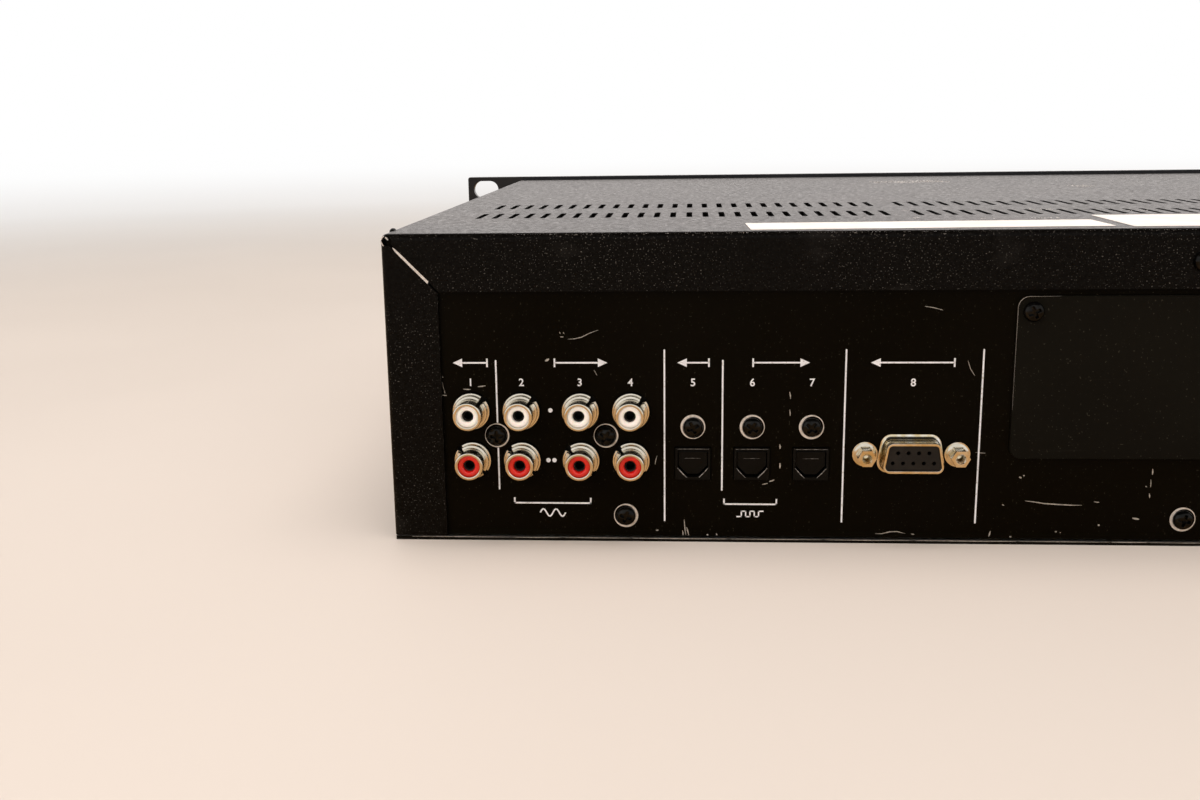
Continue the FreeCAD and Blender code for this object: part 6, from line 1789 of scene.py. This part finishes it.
@dataclass
class FrontPanel:
    """The brushed panel with its print, the display and the phones jack."""

    face: float = -154.0
    tray: Point2 = (-118.0, 136.0)  # middle X and width
    slot: Point2 = (140.0, 71.0)
    window: Point3 = (-32.7, 46.0, 78.0)  # left, low and high
    tube_face: float = -148.6
    keys: tuple[tuple[float, Sign], ...] = ((-140.0, Sign.STOP), (-110.0, Sign.PLAY), (-80.0, Sign.OPEN),
                                            (100.0, Sign.RECORD), (122.0, Sign.STOP), (144.0, Sign.PLAY),
                                            (166.0, Sign.OPEN))
    key_z: float = 21.0
    power: Point2 = (-200.0, 62.0)
    phones: Point2 = (-200.0, 21.0)
    uprights: Point2 = (-43.0, 88.8)  # printed lines between the parts of the panel
    underlines: tuple[Point2, ...] = ((-158.0, -62.0), (93.0, 178.0))

    def build(self, bench: Bench) -> None:
        """Makes the panel's pieces.

        Args:
            bench: The bench.
        """
        bench.soften("front_panel", ANODISED, 0.35, 3)
        bench.soften("display_window", SMOKED_ACRYLIC, 0.3, 3)
        bench.paint("display_tube", TUBE_GLASS)
        bench.soften("phones_jack", BLACK_ABS, 0.2)
        bench.paint("front_switches", BLACK_ABS)
        self.print(bench)
        self.segments(bench)

    def spot(self, x: float, z: float, turn: float = 0.0) -> Matrix:
        """The frame of a mark on the panel's face."""
        return Facing.FRONT.at(x, self.face, z, turn)

    def print(self, bench: Bench) -> None:
        """Signs, scales and hairlines on the panel.

        Args:
            bench: The bench.
        """
        ink = Print()
        for x, sign in self.keys:
            self.sign(ink, sign, x, self.key_z + 7.2)
        self.sign(ink, Sign.POWER, self.power[0], self.power[1] + 9.0)
        self.phones_sign(ink, self.phones[0], self.phones[1] + 11.5)
        for (x, width), cartridge in ((self.tray, False), (self.slot, True)):
            self.disc_sign(ink, x - width / 2 + 5.0, 77.5, cartridge)
        for knob in LEVELS:
            self.scale(ink, knob)
        self.jog_marks(ink, JOG)
        for x in self.uprights:
            ink.mark(oblong(0.3, 66.0), self.spot(x, 43.0))
        for x0, x1 in self.underlines:
            ink.mark(oblong(x1 - x0, 0.3), self.spot((x0 + x1) / 2, 35.5))
        bench.add(ink.cast("front_print", WHITE_INK))

    def sign(self, ink: Print, sign: Sign, x: float, z: float) -> None:
        """One sign over a button.

        Args:
            ink: Collects it.
            sign: Which one.
            x, z: Its middle.
        """
        angles = [math.radians(a) for a in range(40, 321, 14)]
        arc = [(1.6 * math.sin(a), 1.6 * math.cos(a)) for a in angles]
        outlines = {
            Sign.STOP: [oblong(2.4, 2.4)],
            Sign.PLAY: [[(-1.2, -1.4), (1.5, 0.0), (-1.2, 1.4)]],
            Sign.OPEN: [[(-1.5, -0.4), (1.5, -0.4), (0.0, 1.5)], block(-1.5, -1.35, 1.5, -0.85)],
            Sign.RECORD: [ring(1.35, 24)],
            Sign.POWER: [stroke(arc, 0.42, False), block(-0.21, 0.2, 0.21, 2.0)]}
        for outline in outlines[sign]:
            ink.mark(outline, self.spot(x, z))

    def phones_sign(self, ink: Print, x: float, z: float) -> None:
        """A headband and two ear cups.

        Args:
            ink: Collects it.
            x, z: Its middle.
        """
        frame = self.spot(x, z)
        angles = [math.radians(a) for a in range(0, 181, 12)]
        ink.mark(stroke([(1.9 * math.cos(a), 1.9 * math.sin(a)) for a in angles], 0.36, False), frame)
        for side in (-1, 1):
            ink.mark(oblong(0.8, 1.5, 0.3, 2), frame @ Matrix.Translation((side * 1.85, -0.55, 0)))

    def disc_sign(self, ink: Print, x: float, z: float, cartridge: bool) -> None:
        """A disc with its hole, in a square where it is a cartridge.

        Args:
            ink: Collects it.
            x, z: Its middle.
            cartridge: Whether the disc is in a cartridge.
        """
        frame = self.spot(x, z)
        size = 1.7 if cartridge else 2.4
        ink.loop(ring(size, 32), ring(size - 0.34, 32), frame)
        ink.loop(ring(0.75, 20), ring(0.42, 20), frame)
        if cartridge:
            ink.loop(oblong(5.2, 5.2, 0.5), oblong(4.6, 4.6, 0.3), frame)

    def scale(self, ink: Print, knob: Knob) -> None:
        """Ticks round a knob, with figures at both ends.

        Args:
            ink: Collects them.
            knob: The knob.
        """
        for k in range(11):
            lift = Matrix.Translation((0, knob.radius + 2.4, 0))
            tick = oblong(0.3, 1.5 if k % 5 else 2.2)
            ink.mark(tick, self.spot(knob.x, knob.z, 150 - 30 * k) @ lift)
        reach = knob.radius + 5.4
        for figure, angle in (("0", 238), ("10", -58)):
            a = math.radians(angle)
            place = self.spot(knob.x + reach * math.cos(a), knob.z + reach * math.sin(a))
            ink.figures(figure, 1.9, place)

    def jog_marks(self, ink: Print, knob: Knob) -> None:
        """Two arrowheads over the jog dial, one for each way round.

        Args:
            ink: Collects them.
            knob: The knob.
        """
        for side in (-1, 1):
            frame = self.spot(knob.x + side * 3.4, knob.z + knob.radius + 3.6)
            ink.mark([(-side * 1.1, -1.2), (side * 1.3, 0.0), (-side * 1.1, 1.2)], frame)

    def segment(self, shaper: Shaper, outline: Outline, x: float, z: float,
                turn: float = 0.0) -> None:
        """Adds one flat segment on the tube's face."""
        shaper.prism(outline, Facing.FRONT.at(x, self.tube_face, z, turn), 0.02, 0.06)

    def segments(self, bench: Bench) -> None:
        """Unlit figures and bars behind the display's glass.

        Args:
            bench: The bench.
        """
        shaper = Shaper()
        left, low, high = self.window
        middle = (low + high) / 2 + 2.5
        for k, x in enumerate((16, 28, 44, 56, 72, 84)):
            self.figure(shaper, left + x, middle, 8.0, 13.0)
            if k in (1, 3):
                for dz in (-2.2, 2.2):
                    self.segment(shaper, ring(0.7, 12), left + x + 8.0, middle + dz)
        for row, z in enumerate((low + 6.6, low + 4.0)):
            for k in range(28):
                self.segment(shaper, oblong(1.9, 1.5), left + 14 + k * 2.6, z - row * 0.1)
        bench.add(shaper.cast("display_segments", PHOSPHOR))

    def figure(self, shaper: Shaper, x: float, z: float, width: float, height: float) -> None:
        """One seven-bar figure, all bars shown.

        Args:
            shaper: Collects it.
            x, z: Its middle.
            width: Over its bars.
            height: Over its bars.
        """
        bar = 1.25
        half_w, half_h = width / 2 - bar / 2, height / 2 - bar / 2
        places = [(0, half_h, 0), (0, 0, 0), (0, -half_h, 0), (-half_w, half_h / 2, 90),
                  (half_w, half_h / 2, 90), (-half_w, -half_h / 2, 90), (half_w, -half_h / 2, 90)]
        for dx, dz, turn in places:
            reach = (half_h / 2 if turn else half_w) - 0.2
            outline = [(-reach, 0), (-reach + bar / 2, -bar / 2), (reach - bar / 2, -bar / 2), (reach, 0),
                       (reach - bar / 2, bar / 2), (-reach + bar / 2, bar / 2)]
            self.segment(shaper, outline, x + dx, z + dz, turn)


@dataclass
class Controls:
    """The push buttons and the three knobs."""

    buttons: tuple[str, ...] = ("cd_stop", "cd_play", "cd_open", "md_record", "md_stop", "md_play",
                                "md_eject", "power")
    knob_front: float = -166.8
    knob_back: float = -154.8

    def build(self, bench: Bench) -> None:
        """Makes the buttons and knobs.

        Args:
            bench: The bench.
        """
        for name in self.buttons:
            bench.soften(name + "_button", BUTTON_GREY, 0.12)
        for knob in LEVELS:
            self.knob(bench, knob)
            self.pointer(bench, knob)
        self.knob(bench, JOG)

    def knob(self, bench: Bench, knob: Knob) -> None:
        """One knob with ribs round its skirt.

        Args:
            bench: The bench.
            knob: The knob.
        """
        bench.soften(knob.node, FRONT_PLASTIC, 0.15)
        length = self.knob_back - self.knob_front - 2.6
        rib = 0.75 * math.pi * knob.radius / knob.ribs / 2
        frame = Facing.FRONT.at(knob.x, self.knob_back - 0.7 - length / 2, knob.z)
        name = knob.node + "_ribs"
        piece = bench.ribs.run(name, bpy.data.meshes.new(name), {
            "Ribs": knob.ribs, "Radius": (knob.radius - rib * 0.25) * MM, "Length": length * MM,
            "Rib": rib * MM, "Finish": FRONT_PLASTIC.material()}, frame)
        bench.add(piece, knob.node, "black_front_plastic")

    def pointer(self, bench: Bench, knob: Knob) -> None:
        """The white line on a knob's face.

        Args:
            bench: The bench.
            knob: The knob.
        """
        shaper = Shaper()
        shaper.prism(block(-0.42, knob.radius * 0.27, 0.42, knob.radius - 1.1),
                     Facing.FRONT.at(knob.x, self.knob_front, knob.z), -0.55, -0.12)
        bench.add(shaper.cast(knob.node + "_pointer", WHITE_INK), knob.node)


# ---- drives and boards -------------------------------------------------------------------
@dataclass
class Drive:
    """A drive whose pieces keep their places and sizes."""

    edges: tuple[tuple[str, Finish, float], ...] = ()  # pieces that get rounded edges
    painted: tuple[tuple[str, Finish], ...] = ()  # pieces that only get their finish

    def build(self, bench: Bench) -> None:
        """Makes the drive's pieces.

        Args:
            bench: The bench.
        """
        for node, finish, edge in self.edges:
            bench.soften(node, finish, edge)
        for node, finish in self.painted:
            bench.paint(node, finish)


@dataclass
class DiscDrive(Drive):
    """The compact disc drive: tray, gears, carriage, turntable and pickup."""

    edges: tuple[tuple[str, Finish, float], ...] = (
        ("cd_chassis", BLACK_ABS, 0.25), ("cd_tray", BLACK_ABS, 0.3), ("cd_tray_front", FRONT_PLASTIC, 0.2),
        ("cd_motor_pulley", ACETAL, 0.08), ("cd_pulley_gear", ACETAL, 0.08), ("cd_drive_gear", ACETAL, 0.08),
        ("cd_clamp_bridge", ZINC_SHEET, 0.15), ("cd_clamper", BLACK_ABS, 0.25),
        ("cd_traverse", ZINC_SHEET, 0.15), ("cd_turntable", BLACK_ABS, 0.15), ("cd_pickup", BLACK_ABS, 0.2),
        ("cd_sled_gear", ACETAL, 0.08))
    painted: tuple[tuple[str, Finish], ...] = (("cd_belt", RUBBER), ("cd_traverse_motors", NICKEL))


@dataclass
class MinidiscDrive(Drive):
    """The minidisc drive: frame, cartridge holder, turntable, pickup and head arm."""

    edges: tuple[tuple[str, Finish, float], ...] = (
        ("md_frame", ZINC_SHEET, 0.15), ("md_holder", ZINC_SHEET, 0.15), ("md_turntable", BLACK_ABS, 0.15),
        ("md_pickup", BLACK_ABS, 0.2), ("md_lead_screw", GROUND_STEEL, 0.1),
        ("md_head_arm", GROUND_STEEL, 0.12), ("md_slot_flap", FRONT_PLASTIC, 0.15))
    painted: tuple[tuple[str, Finish], ...] = (("drive_motors", NICKEL),)


@dataclass
class Boards:
    """The circuit boards, what stands on them, the transformer and the flat cables."""

    top: float = 10.65
    # the square chips as (X, Y, half their width)
    chips: tuple[Point3, ...] = ((70.0, 32.0, 12.0), (110.0, 40.0, 10.0), (150.0, 26.0, 14.0),
                                 (160.0, 70.0, 7.0), (110.0, 80.0, 7.0), (60.0, 65.0, 6.0),
                                 (185.0, 40.0, 6.0))
    chip_legs: int = 12  # along each side
    coil: Point3 = (45.0, 48.0, 5.0)  # width, depth and corner
    turns: int = 19
    wire: float = 0.62

    def build(self, bench: Bench) -> None:
        """Makes the boards' pieces.

        Args:
            bench: The bench.
        """
        bench.paint("circuit_boards", BOARD)
        bench.soften("board_components", EPOXY_BLACK, 0.2)
        bench.paint("transformer", LAMINATIONS)
        bench.paint("ribbon_cables", FLAT_CABLE)
        self.legs(bench)
        self.winding(bench)

    def legs(self, bench: Bench) -> None:
        """Gull-wing legs along all four sides of the square chips.

        Args:
            bench: The bench.
        """
        shaper = Shaper()
        shaper.prism([(0.0, 0.0), (0.9, 0.0), (0.9, 0.25), (0.3, 0.25), (0.1, 1.0), (-0.1, 1.0)],
                     Matrix.Rotation(math.pi / 2, 4, "X"), -0.16, 0.16)
        leg = shaper.cast("leg", NICKEL)
        spots = []
        last = self.chip_legs - 1
        for x, y, half in self.chips:
            for side in range(4):
                turn = Matrix.Translation((x, y, self.top)) @ Matrix.Rotation(math.pi / 2 * side, 4, "Z")
                for k in range(self.chip_legs):
                    along = (k - last / 2) * (2 * half - 2) / last
                    spots.append((turn @ Matrix.Translation((half, along, 0)), 1.0))
        bench.add(bench.set_out("chip_legs", leg, spots, NICKEL), slot="nickel")

    def winding(self, bench: Bench) -> None:
        """The transformer's winding, turn on turn round its former.

        Args:
            bench: The bench.
        """
        width, depth, corner = self.coil
        frame = Matrix.Translation((-170.0, 85.0, self.top + 12.0 + 0.9))
        piece = bench.winding.run("transformer_winding", bpy.data.meshes.new("winding"), {
            "Turns": self.turns, "Width": (width - self.wire) * MM, "Depth": (depth - self.wire) * MM,
            "Corner": corner * MM, "Wire": self.wire * MM, "Finish": COPPER_WIRE.material()}, frame)
        bench.add(piece, slot="core_steel")


# ---- the studio --------------------------------------------------------------------------
@dataclass(frozen=True)
class SoftBox:
    """A soft lamp: where it stands and what it faces, its two sides, all in metres, and its watts."""

    name: str
    place: Point3
    aim: Point3
    sides: Point2
    power: float
    mirrored: bool = False  # whether shiny pieces see it


@dataclass
class Room:
    """Floor, backdrop, soft lamps and the camera."""

    place: Point3 = (131.33, 508.74, 117.47)
    yaw: float = -0.073
    pitch: float = 0.235
    roll: float = 0.014
    focal: float = 1334.5  # in pixels of a picture 1200 wide
    centre: Point2 = (597.5, 433.5)
    picture: Point2 = (1200.0, 800.0)
    ambient: float = 0.55  # even light on everything
    ceiling: float = 0.06  # what shiny pieces see overhead
    lamp_colour: str = "#ffece2"
    # overhead, beside the camera, and a wide one before the front panel
    boxes: tuple[SoftBox, ...] = (
        SoftBox("overhead_box", (0.1, 0.25, 1.5), (0.0, 0.0, 0.0), (1.4, 1.4), 20.0),
        SoftBox("rear_box", (0.95, 1.35, 0.75), (0.1, 0.15, 0.04), (0.7, 0.7), 11.0),
        SoftBox("front_box", (0.0, -2.2, 0.7), (0.0, 0.0, 0.2), (4.4, 1.3), 10.9, True))

    def build(self) -> None:
        """Sets up the room."""
        self.sweep()
        self.world()
        self.lamps()
        self.camera()

    def sweep(self) -> None:
        """A floor that runs up into a backdrop all round, far from the deck."""
        profile = [(0.0, 0.0), (600.0, 0.0), (1500.0, 0.0), (2100.0, 30.0), (2500.0, 150.0), (2800.0, 400.0),
                   (2950.0, 800.0), (3000.0, 1500.0), (3000.0, 2600.0)]
        steps = 64
        points = [(0.0, 0.0, 0.0)]
        for k in range(steps):
            a = 2 * math.pi * k / steps
            points += [(r * math.cos(a) * MM, r * math.sin(a) * MM, z * MM) for r, z in profile[1:]]
        count = len(profile) - 1
        faces = []
        for k in range(steps):
            here, there = 1 + k * count, 1 + (k + 1) % steps * count
            faces.append([0, here, there])
            faces += [[here + i, here + i + 1, there + i + 1, there + i] for i in range(count - 1)]
        mesh = bpy.data.meshes.new("studio_sweep")
        mesh.from_pydata(points, [], faces)
        for polygon in mesh.polygons:
            polygon.use_smooth = True
        mesh.materials.append(STUDIO_PAPER.material())
        stand("studio_sweep", mesh)

    def world(self) -> None:
        """Even light from all round; it looks white, and shiny pieces see a dim ceiling."""
        world = bpy.data.worlds.new("studio")
        bpy.context.scene.world = world
        tree = cleared(world)
        path = add_node(tree, "ShaderNodeLightPath").outputs
        level = remap(tree, path["Is Glossy Ray"], (0.0, 1.0), self.ambient, self.ceiling)
        strength = remap(tree, path["Is Camera Ray"], (0.0, 1.0), level, 1.0)
        light = add_node(tree, "ShaderNodeBackground", {"Color": (1, 1, 1, 1), "Strength": strength})
        add_node(tree, "ShaderNodeOutputWorld", {"Surface": light.outputs[0]})

    def lamps(self) -> None:
        """The soft boxes, which light the deck and aren't seen by the camera."""
        for box in self.boxes:
            data = bpy.data.lights.new(box.name, "AREA")
            data.shape, data.size, data.size_y, data.energy = "RECTANGLE", *box.sides, box.power
            data.color = linear(self.lamp_colour)[:3]
            lamp = stand(box.name, data)
            lamp.location = box.place
            lamp.rotation_euler = (Vector(box.place) - Vector(box.aim)).to_track_quat("Z", "Y").to_euler()
            lamp.visible_camera = lamp.visible_transmission = False
            lamp.visible_glossy = box.mirrored

    def camera(self) -> None:
        """The camera, turned by yaw, pitch and roll from looking along -Y."""
        right, down, forward = Vector((-1, 0, 0)), Vector((0, 0, -1)), Vector((0, -1, 0))
        c, s = math.cos(self.yaw), math.sin(self.yaw)
        right, forward = right * c - forward * s, forward * c + right * s
        c, s = math.cos(self.pitch), math.sin(self.pitch)
        forward, down = forward * c + down * s, down * c - forward * s
        c, s = math.cos(self.roll), math.sin(self.roll)
        right, down = right * c + down * s, down * c - right * s
        data = bpy.data.cameras.new("camera")
        data.sensor_width = 36.0
        data.lens = self.focal / self.picture[0] * data.sensor_width
        data.shift_x = (self.picture[0] / 2 - self.centre[0]) / self.picture[0]
        data.shift_y = (self.centre[1] - self.picture[1] / 2) / self.picture[0]
        data.clip_start = 0.01
        camera = stand("camera", data)
        turn = Matrix((right, -down, -forward)).transposed().to_4x4()
        camera.matrix_world = Matrix.Translation(Vector(self.place) * MM) @ turn
        bpy.context.scene.camera = camera


def main() -> None:
    """Builds every sub-assembly in order."""
    logging.basicConfig(level=logging.INFO, format="%(name)s: %(message)s")
    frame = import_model()
    bpy.context.scene.view_settings.view_transform = "Standard"
    bench = Bench(frame)
    for part in (Case(), JackPanel(), Screws(), PhonoJacks(), OpticalJacks(), ControlPort(), BlankPlate(),
                 MainsInlet(), FrontPanel(), Controls(), DiscDrive(), MinidiscDrive(), Boards()):
        log.info("building %s", type(part).__name__)
        part.build(bench)
    Room().build()


if __name__ == "__main__":
    main()
